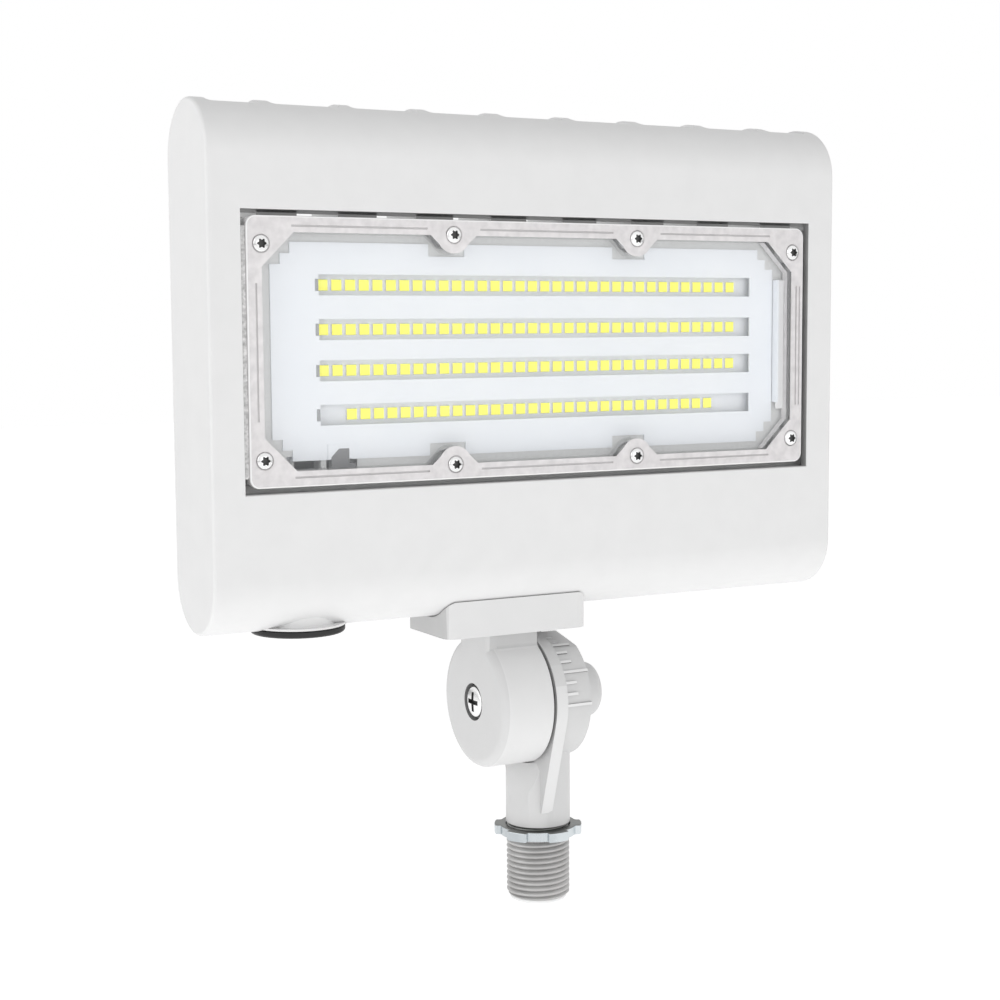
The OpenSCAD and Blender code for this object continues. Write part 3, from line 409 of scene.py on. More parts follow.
class Graph:
    """A material's shader nodes, added and linked one call at a time."""

    def __init__(self, name: str) -> None:
        """Start an empty material with a principled shader.

        Args:
            name: The material's name.
        """
        self.material = bpy.data.materials.new(name)
        self.material.use_nodes = True
        self.nodes = self.material.node_tree.nodes
        self.nodes.clear()
        self.shader = self.nodes.new("ShaderNodeBsdfPrincipled")
        self.output = self.nodes.new("ShaderNodeOutputMaterial")
        self.link(self.shader.outputs["BSDF"], self.output.inputs["Surface"])
        self.place = self.nodes.new("ShaderNodeTexCoord").outputs["Object"]

    def link(self, source: bpy.types.NodeSocket, target: bpy.types.NodeSocket) -> None:
        """Join two sockets."""
        self.material.node_tree.links.new(source, target)

    def set(self, **values: object) -> None:
        """Set sockets of the principled shader, with underscores for spaces."""
        for key, value in values.items():
            self.shader.inputs[key.replace("_", " ")].default_value = value

    def noise(self, scale: float, detail: float = 2.0, stretch: Point = (1, 1, 1)) -> bpy.types.NodeSocket:
        """Add a noise pattern in object space.

        Args:
            scale: Cells per metre.
            detail: Octaves of finer noise.
            stretch: Factors on the three axes.

        Returns:
            The pattern's value socket.
        """
        mapping = self.nodes.new("ShaderNodeMapping")
        mapping.inputs["Scale"].default_value = stretch
        self.link(self.place, mapping.inputs["Vector"])
        noise = self.nodes.new("ShaderNodeTexNoise")
        noise.inputs["Scale"].default_value = scale
        noise.inputs["Detail"].default_value = detail
        self.link(mapping.outputs["Vector"], noise.inputs["Vector"])
        return noise.outputs["Fac"]

    def spread(self, value: bpy.types.NodeSocket, low: float, high: float) -> bpy.types.NodeSocket:
        """Map a pattern from 0.3 to 0.7 onto a range.

        Args:
            value: The pattern.
            low: Result at 0.3.
            high: Result at 0.7.

        Returns:
            The mapped value socket.
        """
        mapped = self.nodes.new("ShaderNodeMapRange")
        mapped.inputs["From Min"].default_value = 0.3
        mapped.inputs["From Max"].default_value = 0.7
        mapped.inputs["To Min"].default_value = low
        mapped.inputs["To Max"].default_value = high
        self.link(value, mapped.inputs["Value"])
        return mapped.outputs["Result"]

    def tint(self, value: bpy.types.NodeSocket, dark: Colour, pale: Colour) -> None:
        """Colour the surface between two shades by a pattern.

        Args:
            value: The pattern, from 0 to 1.
            dark: Shade at 0.
            pale: Shade at 1.
        """
        mix = self.nodes.new("ShaderNodeMix")
        mix.data_type = "RGBA"
        mix.inputs["A"].default_value = (*dark, 1)
        mix.inputs["B"].default_value = (*pale, 1)
        self.link(value, mix.inputs["Factor"])
        self.link(mix.outputs["Result"], self.shader.inputs["Base Color"])

    def relief(self, value: bpy.types.NodeSocket, depth: float, strength: float = 1.0) -> None:
        """Raise a fine relief from a pattern, over any relief added before.

        Args:
            value: The pattern.
            depth: Height of the relief in metres.
            strength: Share of the relief that shows.
        """
        bump = self.nodes.new("ShaderNodeBump")
        bump.inputs["Distance"].default_value = depth
        bump.inputs["Strength"].default_value = strength
        self.link(value, bump.inputs["Height"])
        before = self.shader.inputs["Normal"].links
        if before:
            self.link(before[0].from_socket, bump.inputs["Normal"])
        self.link(bump.outputs["Normal"], self.shader.inputs["Normal"])


@dataclass(frozen=True)
class Shade:
    """The look of one finish.

    Attributes:
        dark: Base colour where the pattern is low.
        pale: Base colour where the pattern is high.
        rough: Lowest and highest roughness.
        grain: Cells per metre of the surface pattern.
        depth: Height of the surface relief in metres.
        metal: Share of metal.
        alpha: Opacity.
        stretch: Stretch of the pattern along the axes.
        glow: Strength of the surface's own light.
    """

    dark: Colour
    pale: Colour
    rough: tuple[float, float] = (0.4, 0.5)
    grain: float = 900.0
    depth: float = 0.00002
    metal: float = 0.0
    alpha: float = 1.0
    stretch: Point = (1, 1, 1)
    glow: float = 0.0

    def build(self, name: str) -> bpy.types.Material:
        """Make the material.

        Args:
            name: The material's name.

        Returns:
            The finished material.
        """
        graph = Graph(name)
        broad = graph.noise(self.grain / 12, 3, self.stretch)
        fine = graph.noise(self.grain, 2, self.stretch)
        graph.tint(graph.spread(broad, 0, 1), self.dark, self.pale)
        graph.link(graph.spread(broad, *self.rough), graph.shader.inputs["Roughness"])
        graph.relief(fine, self.depth, 0.5)
        graph.relief(broad, self.depth * 1.5, 0.35)
        graph.set(Metallic=self.metal, Alpha=self.alpha, Emission_Color=(*self.pale, 1), Emission_Strength=self.glow)
        return graph.material


SHADES: dict[Finish, Shade] = {
    Finish.COAT: Shade((0.80, 0.80, 0.80), (0.82, 0.82, 0.82), (0.42, 0.5), 1400, 0.00001),
    Finish.ARM_COAT: Shade((0.64, 0.64, 0.64), (0.66, 0.66, 0.66), (0.42, 0.5), 1400, 0.00001),
    Finish.KNUCKLE: Shade((0.67, 0.67, 0.67), (0.69, 0.69, 0.69), (0.42, 0.5), 1400, 0.00001),
    Finish.LENS: Shade((0.9, 0.93, 0.96), (0.95, 0.97, 1.0), (0.02, 0.05), 60, 0.000002, alpha=0.06),
    # gasket rubber, also used as painted shade on the casting and on a strip in the gap round the lens
    Finish.GASKET_AND_GAP_SHADE: Shade((0.30, 0.30, 0.30), (0.36, 0.36, 0.36), (0.6, 0.8), 1500),
    Finish.RING: Shade((0.02, 0.02, 0.02), (0.03, 0.03, 0.03), (0.4, 0.6), 1500),
    Finish.REFLECTOR: Shade((0.91, 0.94, 0.98), (0.94, 0.965, 1.0), (0.3, 0.4), 700, 0.000005),
    Finish.BOARD: Shade((0.89, 0.91, 0.94), (0.93, 0.95, 0.98), (0.35, 0.5), 900, 0.000005),
    # the unlit packages get a weak glow of their own: painted light
    Finish.PHOSPHOR: Shade((1.0, 0.95, 0.08), (1.0, 1.0, 0.14), (0.45, 0.6), 4000, 0.00002, glow=0.22),
    Finish.GREEN: Shade((0.03, 0.16, 0.06), (0.05, 0.22, 0.09), (0.25, 0.4), 600),
    Finish.TERMINAL: Shade((0.20, 0.20, 0.205), (0.24, 0.24, 0.245), (0.4, 0.6), 900, 0.000005),
    Finish.WIRE: Shade((0.17, 0.17, 0.17), (0.21, 0.21, 0.21), (0.4, 0.5), 900, 0.000005),
    Finish.SLEEVE: Shade((0.01, 0.015, 0.04), (0.015, 0.02, 0.06), (0.15, 0.3), 500),
    Finish.TAPE: Shade((0.55, 0.38, 0.04), (0.65, 0.46, 0.06), (0.3, 0.5), 500),
    Finish.SCREW: Shade((0.80, 0.80, 0.80), (0.92, 0.92, 0.92), (0.18, 0.3), 900, 0.000005, metal=1.0),
    Finish.NIPPLE: Shade((0.44, 0.435, 0.43), (0.56, 0.555, 0.55), (0.35, 0.55), 900, 0.00001, metal=0.5),
    Finish.NUT: Shade((0.44, 0.47, 0.49), (0.68, 0.72, 0.74), (0.2, 0.35), 700, 0.00001, metal=1.0,
                      stretch=(1, 1, 0.15)),
    Finish.BUSHING: Shade((0.84, 0.84, 0.84), (0.88, 0.88, 0.88), (0.35, 0.45), 500, 0.000005),
    Finish.CAP: Shade((0.006, 0.006, 0.006), (0.012, 0.012, 0.012), (0.35, 0.5), 1200, 0.00001),
    Finish.SLIDER: Shade((0.80, 0.80, 0.76), (0.84, 0.84, 0.80), (0.35, 0.5), 900),
    Finish.FLANGE: Shade((0.73, 0.71, 0.715), (0.87, 0.845, 0.85), (0.1, 0.25), 4000, 0.00001, alpha=0.93),
    # darker flange tone: painted shade in the flange's grooves
    Finish.GROOVE_SHADE: Shade((0.60, 0.585, 0.59), (0.66, 0.645, 0.65), (0.2, 0.35), 500, 0.000005, alpha=0.9),
    Finish.RIM: Shade((0.90, 0.90, 0.90), (0.96, 0.96, 0.96), (0.1, 0.25), 500, 0.000005, alpha=0.12),
    # dark zinc: a painted reflection on the nut's top, and painted shade on the stem above the nut
    Finish.ZINC_SHADE: Shade((0.14, 0.145, 0.14), (0.26, 0.265, 0.26), (0.3, 0.5), 700, 0.00001, metal=0.8),
    # near-black: painted shade in the screw recesses
    Finish.SOCKET: Shade((0.07, 0.07, 0.07), (0.11, 0.11, 0.11), (0.5, 0.7), 900, metal=0.5),
    # dark grey: painted shade in recesses and gaps
    Finish.RECESS_SHADE: Shade((0.22, 0.22, 0.22), (0.26, 0.26, 0.26), (0.5, 0.7), 900),
    Finish.TAB: Shade((0.33, 0.34, 0.35), (0.38, 0.39, 0.40), (0.4, 0.5), 900),
    Finish.LINER: Shade((0.72, 0.725, 0.72), (0.80, 0.805, 0.80), (0.5, 0.6), 12000, 0.00001),
    # near-white: a painted highlight on the lens edge, and painted light on the tray wall and a strip
    Finish.EDGE: Shade((0.95, 0.95, 0.95), (0.99, 0.99, 0.99), (0.1, 0.2), 500, 0.000005),
    # mottled light and dark: painted refraction in the clear lens edge
    Finish.LIP_REFRACTION: Shade((0.40, 0.40, 0.40), (0.80, 0.79, 0.79), (0.1, 0.3), 9000, 0.00001),
    # pale and dark copies of the arm coat: painted highlight and painted shade on the scale marks
    Finish.TICK: Shade((0.80, 0.80, 0.80), (0.84, 0.84, 0.84), (0.42, 0.5), 1400, 0.00001),
    Finish.TICK_SIDE: Shade((0.18, 0.18, 0.18), (0.22, 0.22, 0.22), (0.5, 0.6), 1400, 0.00001),
    # lighter coat: painted light on lit faces of the bracket and arm
    Finish.PALE: Shade((0.755, 0.755, 0.755), (0.77, 0.77, 0.77), (0.42, 0.5), 1400, 0.00001),
    # darker coat: painted shade under the head, plate and drum
    Finish.PAINTED_SHADE: Shade((0.54, 0.54, 0.54), (0.57, 0.57, 0.57), (0.5, 0.6), 1400, 0.00001),
}


class Palette:
    """Every finish as a built material."""

    def __init__(self) -> None:
        """Build the materials once."""
        self.materials = {finish: shade.build(finish.value) for finish, shade in SHADES.items()}

    def dress(self, piece: bpy.types.Object, *finishes: Finish) -> None:
        """Give a piece its finishes, one to a material slot.

        Args:
            piece: The object to dress.
            *finishes: The finishes in slot order.
        """
        piece.data.materials.clear()
        for finish in finishes:
            piece.data.materials.append(self.materials[finish])

    def dress_nodes(self) -> None:
        """Give every carried-over node the finish of its slot in the record."""
        finish_of = {finish.value: finish for finish in Finish}
        for entry in frame["record"]["subparts"]:
            node = frame["nodes"][entry["node"]]
            for slot in node.material_slots:
                slot.material = self.materials[finish_of[entry["material_slot"]]]


# Sub-assemblies. Sizes are in millimetres, in the part's own frame


@dataclass
class Assembly:
    """Pieces that ride on one body.

    Attributes:
        palette: The finishes.
        body: Name of the body that the pieces ride on.
    """

    palette: Palette
    body: str

    def fit(self, piece: bpy.types.Object, node: str, slot: str, *finishes: Finish) -> bpy.types.Object:
        """Dress a piece and put it in the place of a CAD node.

        Args:
            piece: The finished piece.
            node: The node that it replaces.
            slot: Its material slot in the record; not used.
            *finishes: Finishes in the order of its material slots.

        Returns:
            The same piece.
        """
        if finishes:
            self.palette.dress(piece, *finishes)
        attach(piece, self.body)
        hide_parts(node)
        LOG.info("%s: %d faces", piece.name, len(piece.data.polygons))
        return piece

    def paint(self, piece: bpy.types.Object, index: int, test: Callable[[Vector, Vector], bool]) -> None:
        """Give the faces that pass a test another material slot.

        Args:
            piece: The dressed object.
            index: The material slot.
            test: Takes a face's centre in millimetres and its normal.
        """
        for face in piece.data.polygons:
            if test(face.center / MM, face.normal):
                face.material_index = index


@dataclass
class Screw:
    """A screw with a recess in its head, modelled upright with its seat at the origin.

    Attributes:
        name: Name of the master piece.
        head_r: Radius of the head.
        head_h: Height of the head.
        shank_r: Radius of the thread.
        length: Length under the head.
        lobe_r: Mean radius of the recess.
        cross: Cut a crossed recess instead of a six-lobe one.
        dome: Share of the head's height that is domed.
    """

    name: str
    head_r: float
    head_h: float
    shank_r: float
    length: float
    lobe_r: float
    cross: bool = False
    dome: float = 0.6

    def build(self) -> bpy.types.Object:
        """Turn the screw and cut its recess.

        Returns:
            The screw, head up.
        """
        rim = self.head_h * (1 - self.dome)
        profile = [
            (self.shank_r * 0.3, -self.length), (self.shank_r, -self.length + self.shank_r),
            (self.shank_r, 0), (self.head_r * 0.98, 0), (self.head_r, rim * 0.25), (self.head_r, rim),
        ]
        for step in range(1, 7):
            angle = math.radians(step * 13)
            profile.append((self.head_r * math.cos(angle), rim + (self.head_h - rim) * math.sin(angle)))
        piece = turn(self.name, profile, 40)
        floor = self.head_h * 0.35
        if self.cross:
            for turned in (0, 90):
                arm = self.lobe_r
                slot = block("slot", (-arm, -0.75, floor), (arm, 0.75, self.head_h + 1))
                carve(piece, stand(slot, (0, 0, turned), (0, 0, 0)))
        else:
            carve(piece, lobed("star", self.lobe_r, self.lobe_r * 0.2, floor, self.head_h + 1))
        return smooth(piece, 40)


@dataclass
class Head(Assembly):
    """The finned casting with its lens, lens screws, reflector and light packages.

    Attributes:
        left: X of the left flat end.
        width: Width of the head.
        front: Y of the front face.
        centre_x: X of the middle of the head.
        window_z: Height of the middle of the lens.
        window: Width and height of the opening in the skin.
        lens: Width and height of the lens.
        flange: Width of the lens flange.
        groove_in: Distance of the flange's groove from its outer edge.
        rim_depth: Depth of the rim behind the lens.
        slot_left: X of the left end of the reflector's slots.
        screw_places: Place of each lens screw from the middle of the lens.
        rows: Height of each row of packages from the middle of the lens.
        pitch: Pitch of the packages.
        package: Side and height of one package.
    """

    left: float = -117.6
    width: float = 224.0
    front: float = -18.5
    centre_x: float = -5.6
    window_z: float = 180.85
    window: tuple[float, float] = (203.4, 82.3)
    lens: tuple[float, float] = (200.0, 79.0)
    flange: float = 4.75
    groove_in: float = 2.9
    rim_depth: float = 2.6
    slot_left: float = -81.1
    screw_places: tuple[tuple[float, float], ...] = (
        (-95.4, 31.35), (-33.06, 34.9), (33.06, 34.9), (95.4, 31.35),
        (-95.4, -31.35), (-33.06, -34.9), (33.06, -34.9), (95.4, -31.35),
    )
    rows: tuple[float, ...] = (19.75, 6.55, -5.65, -18.85)
    pitch: float = 4.49
    package: tuple[float, float] = (3.3, 0.7)

    def casting(self) -> None:
        """Round the casting's end rims, window and rib edges."""
        piece = cast("housing", "head_casting")
        ends = (self.left, self.left + self.width)
        pick_edges(piece, lambda a, b: any(abs(a.x - x) < 0.02 and abs(b.x - x) < 0.02 for x in ends))
        bpy.ops.mesh.bevel(offset=1.1 * MM, segments=4, affect="EDGES", clamp_overlap=True)
        half_w, half_h = self.window[0] / 2, self.window[1] / 2

        def on_rim(spot: Vector) -> bool:
            """Tell whether a point is on the front edge of the window."""
            across, up = abs(spot.x - self.centre_x), abs(spot.z - self.window_z)
            return abs(spot.y - self.front) < 0.02 and (
                abs(across - half_w) < 0.02 and up < half_h + 0.02
                or abs(up - half_h) < 0.02 and across < half_w + 0.02
            )

        pick_edges(piece, lambda a, b: on_rim(a) and on_rim(b))
        bpy.ops.mesh.bevel(offset=0.4 * MM, segments=3, affect="EDGES", clamp_overlap=True)
        bpy.ops.object.mode_set(mode="OBJECT")
        soften(piece, 0.35, 40)
        self.fit(smooth(piece), "housing", "white_coat", Finish.COAT, Finish.GASKET_AND_GAP_SHADE, Finish.EDGE)
        # paint the gap's outer wall and the bridges above the lens dark grey: painted shade in the gap
        self.paint(piece, 1, self.in_gap_shade)
        # paint the tray's right wall near-white: painted light on a wall in shade
        self.paint(piece, 2, lambda at, way: way.x < -0.7 and abs(at.x - self.centre_x - 96.8) < 0.3
                   and self.front < at.y < self.front + 10)

    def in_gap_shade(self, at: Vector, way: Vector) -> bool:
        """Tell whether a face of the casting lines the gap above or right of the lens, where shade is painted.

        Args:
            at: The face's centre in millimetres.
            way: The face's normal.

        Returns:
            True on the gap's outer wall and on the bridges above the lens.
        """
        across, up = at.x - self.centre_x, at.z - self.window_z
        half_w, half_h = self.window[0] / 2, self.window[1] / 2
        if not self.front + 0.45 < at.y < self.front + 4.6 or up > half_h + 0.3 or across > half_w + 0.3:
            return False
        return up > self.lens[1] / 2 - 0.3 or across > half_w - 0.3 and way.x < -0.7

    def cover(self) -> None:
        """Groove and round the lens flange, hang its clear rim behind it, and leave the window clear."""
        piece = cast("lens", "clear_lens")
        half_w, half_h = self.lens[0] / 2, self.lens[1] / 2
        top = self.front + 0.8
        spans = [(-86, -42), (-24, 24), (42, 86)]
        lines = [(span, side * (half_h - self.groove_in)) for span in spans for side in (-1, 1)]
        for (low, high), up in lines:
            carve(piece, block(
                "line", (self.centre_x + low, top - 1, self.window_z + up - 0.3),
                (self.centre_x + high, top + 0.35, self.window_z + up + 0.3)))
        for across in (-half_w + self.groove_in, half_w - self.groove_in, half_w - 1.5):
            carve(piece, block(
                "line", (self.centre_x + across - 0.3, top - 1, self.window_z - 20),
                (self.centre_x + across + 0.3, top + 0.35, self.window_z + 20)))
        pick_edges(piece, lambda a, b: self.on_edge(a) and self.on_edge(b))
        bpy.ops.mesh.bevel(offset=0.45 * MM, segments=2, affect="EDGES", clamp_overlap=True)
        bpy.ops.object.mode_set(mode="OBJECT")
        soften(piece, 0.18, 40)
        smooth(piece, 40)
        finishes = (Finish.LENS, Finish.FLANGE, Finish.GROOVE_SHADE, Finish.RIM, Finish.EDGE, Finish.LIP_REFRACTION)
        self.palette.dress(piece, *finishes)
        self.paint(piece, 1, self.in_flange)
        # paint the lens's outer bevel near-white: a painted highlight
        self.paint(piece, 4, lambda at, way: self.in_edge(at) and -0.97 < way.y < -0.1)
        # paint the groove floors darker: painted shade in the grooves
        self.paint(piece, 2, lambda at, way: way.y < -0.9 and top + 0.3 < at.y < top + 0.45)
        rim = self.rim()
        self.palette.dress(rim, *finishes)
        self.paint(rim, 3, lambda at, way: True)
        # paint the clear rim's right-facing walls with the opaque pale flange finish: a painted reflection
        self.paint(rim, 1, lambda at, way: way.x < -0.3 and at.x > self.centre_x + 60)
        # an opaque lip left of the lens, mottled as painted refraction in the clear edge
        lip = block("lip", (self.centre_x - half_w - 1.35, top + 0.5, self.window_z - half_h + 3),
                    (self.centre_x - half_w - 0.02, top + 1.5, self.window_z + half_h - 3))
        soften(lip, 0.2, 40)
        self.palette.dress(lip, *finishes)
        self.paint(lip, 5, lambda at, way: True)
        self.fit(join("clear_lens", [piece, rim, lip]), "lens", "lens_plastic")

    def on_edge(self, spot: Vector) -> bool:
        """Tell whether a point is on the front outer edge of the lens.

        Args:
            spot: The point in millimetres.

        Returns:
            True on the edge.
        """
        return abs(spot.y - self.front - 0.8) < 0.02 and self.in_edge(spot, 0.02)

    def in_edge(self, spot: Vector, reach: float = 0.6) -> bool:
        """Tell whether a point is near the outer outline of the lens.

        Args:
            spot: The point in millimetres.
            reach: Largest distance from the outline in millimetres.

        Returns:
            True near the outline.
        """
        round_r = 3.0
        across = abs(spot.x - self.centre_x) - self.lens[0] / 2 + round_r
        up = abs(spot.z - self.window_z) - self.lens[1] / 2 + round_r
        if across > 0 and up > 0:
            return math.hypot(across, up) > round_r - reach
        return max(across, up) > round_r - reach

    def in_flange(self, at: Vector, way: Vector) -> bool:
        """Tell whether a face of the lens is in its flange.

        Args:
            at: The face's centre in millimetres.
            way: The face's normal.

        Returns:
            True outside the clear window.
        """
        across, up = abs(at.x - self.centre_x), abs(at.z - self.window_z)
        if across > self.lens[0] / 2 - self.flange - 0.05 or up > self.lens[1] / 2 - self.flange - 0.05:
            return True
        return self.front - 1 < at.y < self.front + 1.28

    def rim(self) -> bpy.types.Object:
        """Draw the window's outline out into the rim that stands behind the lens.

        Returns:
            The rim, a thin wall.
        """
        piece = cast("lens", "rim", 1.0)
        floor = self.front + 1.3
        pick_faces(piece, lambda at, way: not (way.y < -0.9 and abs(at.y - floor) < 0.05))
        bpy.ops.mesh.delete(type="FACE")
        bpy.ops.mesh.select_all(action="SELECT")
        bpy.ops.transform.translate(value=(0, 1.72 * MM, 0))
        bpy.ops.mesh.select_mode(type="EDGE")
        bpy.ops.mesh.region_to_loop()
        bpy.ops.mesh.extrude_edges_move(TRANSFORM_OT_translate={"value": (0, self.rim_depth * MM, 0)})
        bpy.ops.object.mode_set(mode="OBJECT")
        pick_faces(piece, lambda at, way: abs(way.y) > 0.5)
        bpy.ops.mesh.delete(type="ONLY_FACE")
        bpy.ops.object.mode_set(mode="OBJECT")
        apply_modifier(piece, "SOLIDIFY", thickness=0.6 * MM, offset=0.0)
        edit(piece)
        bpy.ops.mesh.select_all(action="SELECT")
        bpy.ops.mesh.normals_make_consistent(inside=False)
        bpy.ops.object.mode_set(mode="OBJECT")
        return smooth(piece, 40)

    def liner(self) -> None:
        """Lay the pale liner behind the reflector's edge, open where the slots and leads are."""
        piece = cast("lens", "tray_liner", 1.0)
        floor = self.front + 1.3
        pick_faces(piece, lambda at, way: not (way.y < -0.9 and abs(at.y - floor) < 0.05))
        bpy.ops.mesh.delete(type="FACE")
        bpy.ops.mesh.select_all(action="SELECT")
        middle = (self.centre_x * MM, 0, self.window_z * MM)
        bpy.ops.transform.resize(value=(1.016, 1, 1.042), center_override=middle)
        bpy.ops.transform.translate(value=(0, 5.35 * MM, 0))
        bpy.ops.object.mode_set(mode="OBJECT")
        apply_modifier(piece, "SOLIDIFY", thickness=0.3 * MM, offset=0.0)
        holes = [
            ((self.centre_x - 84, self.window_z - 24.5), (self.centre_x + 84, self.window_z + 24.5)),
            ((-92.0, 140.0), (-81.0, 150.0)), ((-79.3, 140.0), (-69.2, 154.0)),
        ]
        for (left, low), (right, high) in holes:
            carve(piece, block("hole", (left, self.front, low), (right, 0, high)))
        self.palette.dress(smooth(piece, 30), Finish.LINER)
        self.add(piece, "gasket_rubber")

    def add(self, piece: bpy.types.Object, slot: str) -> None:
        """Let a piece that stands for no CAD node ride on the head."""
        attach(piece, self.body)
        LOG.info("%s: %d faces", piece.name, len(piece.data.polygons))

    def trim(self) -> None:
        """Set a dark strip over the lens as painted shade, a near-white strip as painted light, the reflector's
        turned-up lip, and the grommet in its notch.
        """
        half_w, half_h = self.window[0] / 2, self.window[1] / 2
        # a dark strip behind the skin's top edge: painted shade across the gap above the lens
        seal = block("top_gap_shade_strip", (self.centre_x - half_w - 0.8, self.front + 3.0, self.window_z + half_h - 0.95),
                     (self.centre_x + half_w + 0.8, self.front + 3.6, self.window_z + half_h + 1.0))
        soften(seal, 0.15, 40)
        self.palette.dress(smooth(seal), Finish.GASKET_AND_GAP_SHADE)
        self.add(seal, "gasket_rubber")
        # a near-white strip right of the reflector lip: painted light
        strip = block("right_highlight_strip", (86.4, self.front + 4.9, 159.5), (90.9, self.front + 5.2, 203.0))
        self.palette.dress(strip, Finish.EDGE)
        self.add(strip, "lens_plastic")
        lip = block("reflector_lip", (85.6, self.front + 3.1, 161.7), (86.1, self.front + 6.3, 203.1))
        soften(lip, 0.15, 40)
        self.palette.dress(smooth(lip), Finish.REFLECTOR)
        self.add(lip, "reflector_white")
        body = block("body", (-77.9, self.front + 5.6, 145.9), (-72.1, self.front + 8.6, 151.9))
        edit(body)
        bpy.ops.mesh.select_all(action="SELECT")
        bpy.ops.mesh.bisect(plane_co=(-77.9 * MM, 0, 149.4 * MM), plane_no=(-2.5, 0, 3.1), use_fill=True, clear_outer=True)
        bpy.ops.object.mode_set(mode="OBJECT")
        frame_piece = block("notch_frame", (-79.0, self.front + 5.75, 148.75), (-69.6, self.front + 5.95, 153.2))
        carve(frame_piece, repeat(body, [(0, 0, 0)] * 2)[1])
        self.palette.dress(smooth(frame_piece, 30), Finish.REFLECTOR)
        self.add(frame_piece, "reflector_white")
        foot = block("foot", (-72.1, self.front + 5.9, 145.9), (-69.7, self.front + 8.6, 147.4))
        piece = join("lead_grommet", [body, foot])
        soften(piece, 0.15, 40)
        self.palette.dress(smooth(piece), Finish.TERMINAL)
        self.add(piece, "terminal_plastic")

    def tabs(self) -> None:
        """Set the small grey pad at the left end of each slot."""
        face = self.front + 6.1
        master = block("slot_tab", (-0.6, face, -1.75), (0.6, self.front + 8.7, 1.75))
        soften(master, 0.12, 40)
        places = [(self.slot_left - 0.6, 0, self.window_z + up) for up in self.rows]
        piece = join("slot_tabs", repeat(master, places))
        self.palette.dress(piece, Finish.TAB)
        self.add(piece, "terminal_plastic")

    def screws(self) -> None:
        """Set the eight lens screws."""
        master = Screw("lens_screw", 2.5, 1.6, 1.5, 8, 1.25).build()
        stand(master, (90, 0, 0), (0, 0, 0))
        seat = self.front + 1.5
        places = [(self.centre_x + x, seat, self.window_z + z) for x, z in self.screw_places]
        piece = join("lens_screw_set", repeat(master, places))
        self.fit(piece, "lens_screws", "screw_steel", Finish.SCREW, Finish.SOCKET)
        # paint the recess walls and floors near-black: painted shade in the recesses
        self.paint(piece, 1, lambda at, way: self.in_recess(at, seat))

    def in_recess(self, at: Vector, seat: float) -> bool:
        """Tell whether a point lies in the recess of a lens screw.

        Args:
            at: The point in millimetres.
            seat: Y of the screws' seats.

        Returns:
            True inside a recess.
        """
        for x, z in self.screw_places:
            reach = math.hypot(at.x - self.centre_x - x, at.z - self.window_z - z)
            if reach < 1.6:
                return at.y > seat - 1.25
        return False

    def packages(self) -> None:
        """Lay out the light packages: a yellow face on a pale body."""
        side, high = self.package
        back = self.front + 8.7
        master = block("light_package", (-side / 2, back - high, -side / 2), (side / 2, back, side / 2))
        pick_faces(master, lambda at, way: way.y < -0.9)
        bpy.ops.mesh.bevel(offset=0.12 * MM, segments=1, affect="EDGES")
        bpy.ops.object.mode_set(mode="OBJECT")
        self.palette.dress(master, Finish.SLIDER, Finish.PHOSPHOR)
        self.paint(master, 1, lambda at, way: way.y < -0.5)
        rows = []
        for number, up in enumerate(self.rows):
            count = 30 if number == len(self.rows) - 1 else 34
            start = self.centre_x + 0.7 - (count - 1) / 2 * self.pitch
            row = bpy.data.objects.new("row", master.data.copy())
            bpy.context.scene.collection.objects.link(row)
            stand(row, (0, 0, 0), (start, 0, self.window_z + up))
            apply_modifier(
                row, "ARRAY", count=count, use_relative_offset=False, use_constant_offset=True,
                constant_offset_displace=(self.pitch * MM, 0, 0),
            )
            rows.append(row)
        bpy.data.objects.remove(master)
        self.fit(join("light_packages", rows), "led_packages", "phosphor")

    def build(self) -> None:
        """Make every piece of the head's front."""
        self.casting()
        self.cover()
        self.screws()
        self.tabs()
        self.liner()
        self.trim()
        self.packages()


@dataclass
class Rear(Assembly):
    """The rear cover with its screws.

    Attributes:
        back: Y of the cover's outer face.
        screw_places: X and Z of each cover screw.
    """

    back: float = 15.1
    screw_places: tuple[tuple[float, float], ...] = (
        (-103.8, 120.8), (-5.6, 119.6), (92.6, 120.8),
        (-103.8, 145.7), (-5.6, 146.9), (92.6, 145.7),
    )

    def build(self) -> None:
        """Round the cover and set its screws."""
        piece = cast("rear_cover", "driver_cover")
        soften(piece, 0.5, 40, 3)
        self.fit(smooth(piece), "rear_cover", "white_coat", Finish.COAT)
        master = Screw("cover_screw", 2.8, 1.7, 1.5, 12.5, 1.4).build()
        stand(master, (-90, 0, 0), (0, 0, 0))
        places = [(x, self.back, z) for x, z in self.screw_places]
        self.fit(join("cover_screw_set", repeat(master, places)), "cover_screws", "screw_steel", Finish.SCREW)


@dataclass
class Port(Assembly):
    """The selector cap."""

    def build(self) -> None:
        """Round the cap's edges."""
        piece = cast("selector_cap", "port_cap")
        soften(piece, 0.25, 30)
        self.fit(smooth(piece), "selector_cap", "cap_black", Finish.CAP)


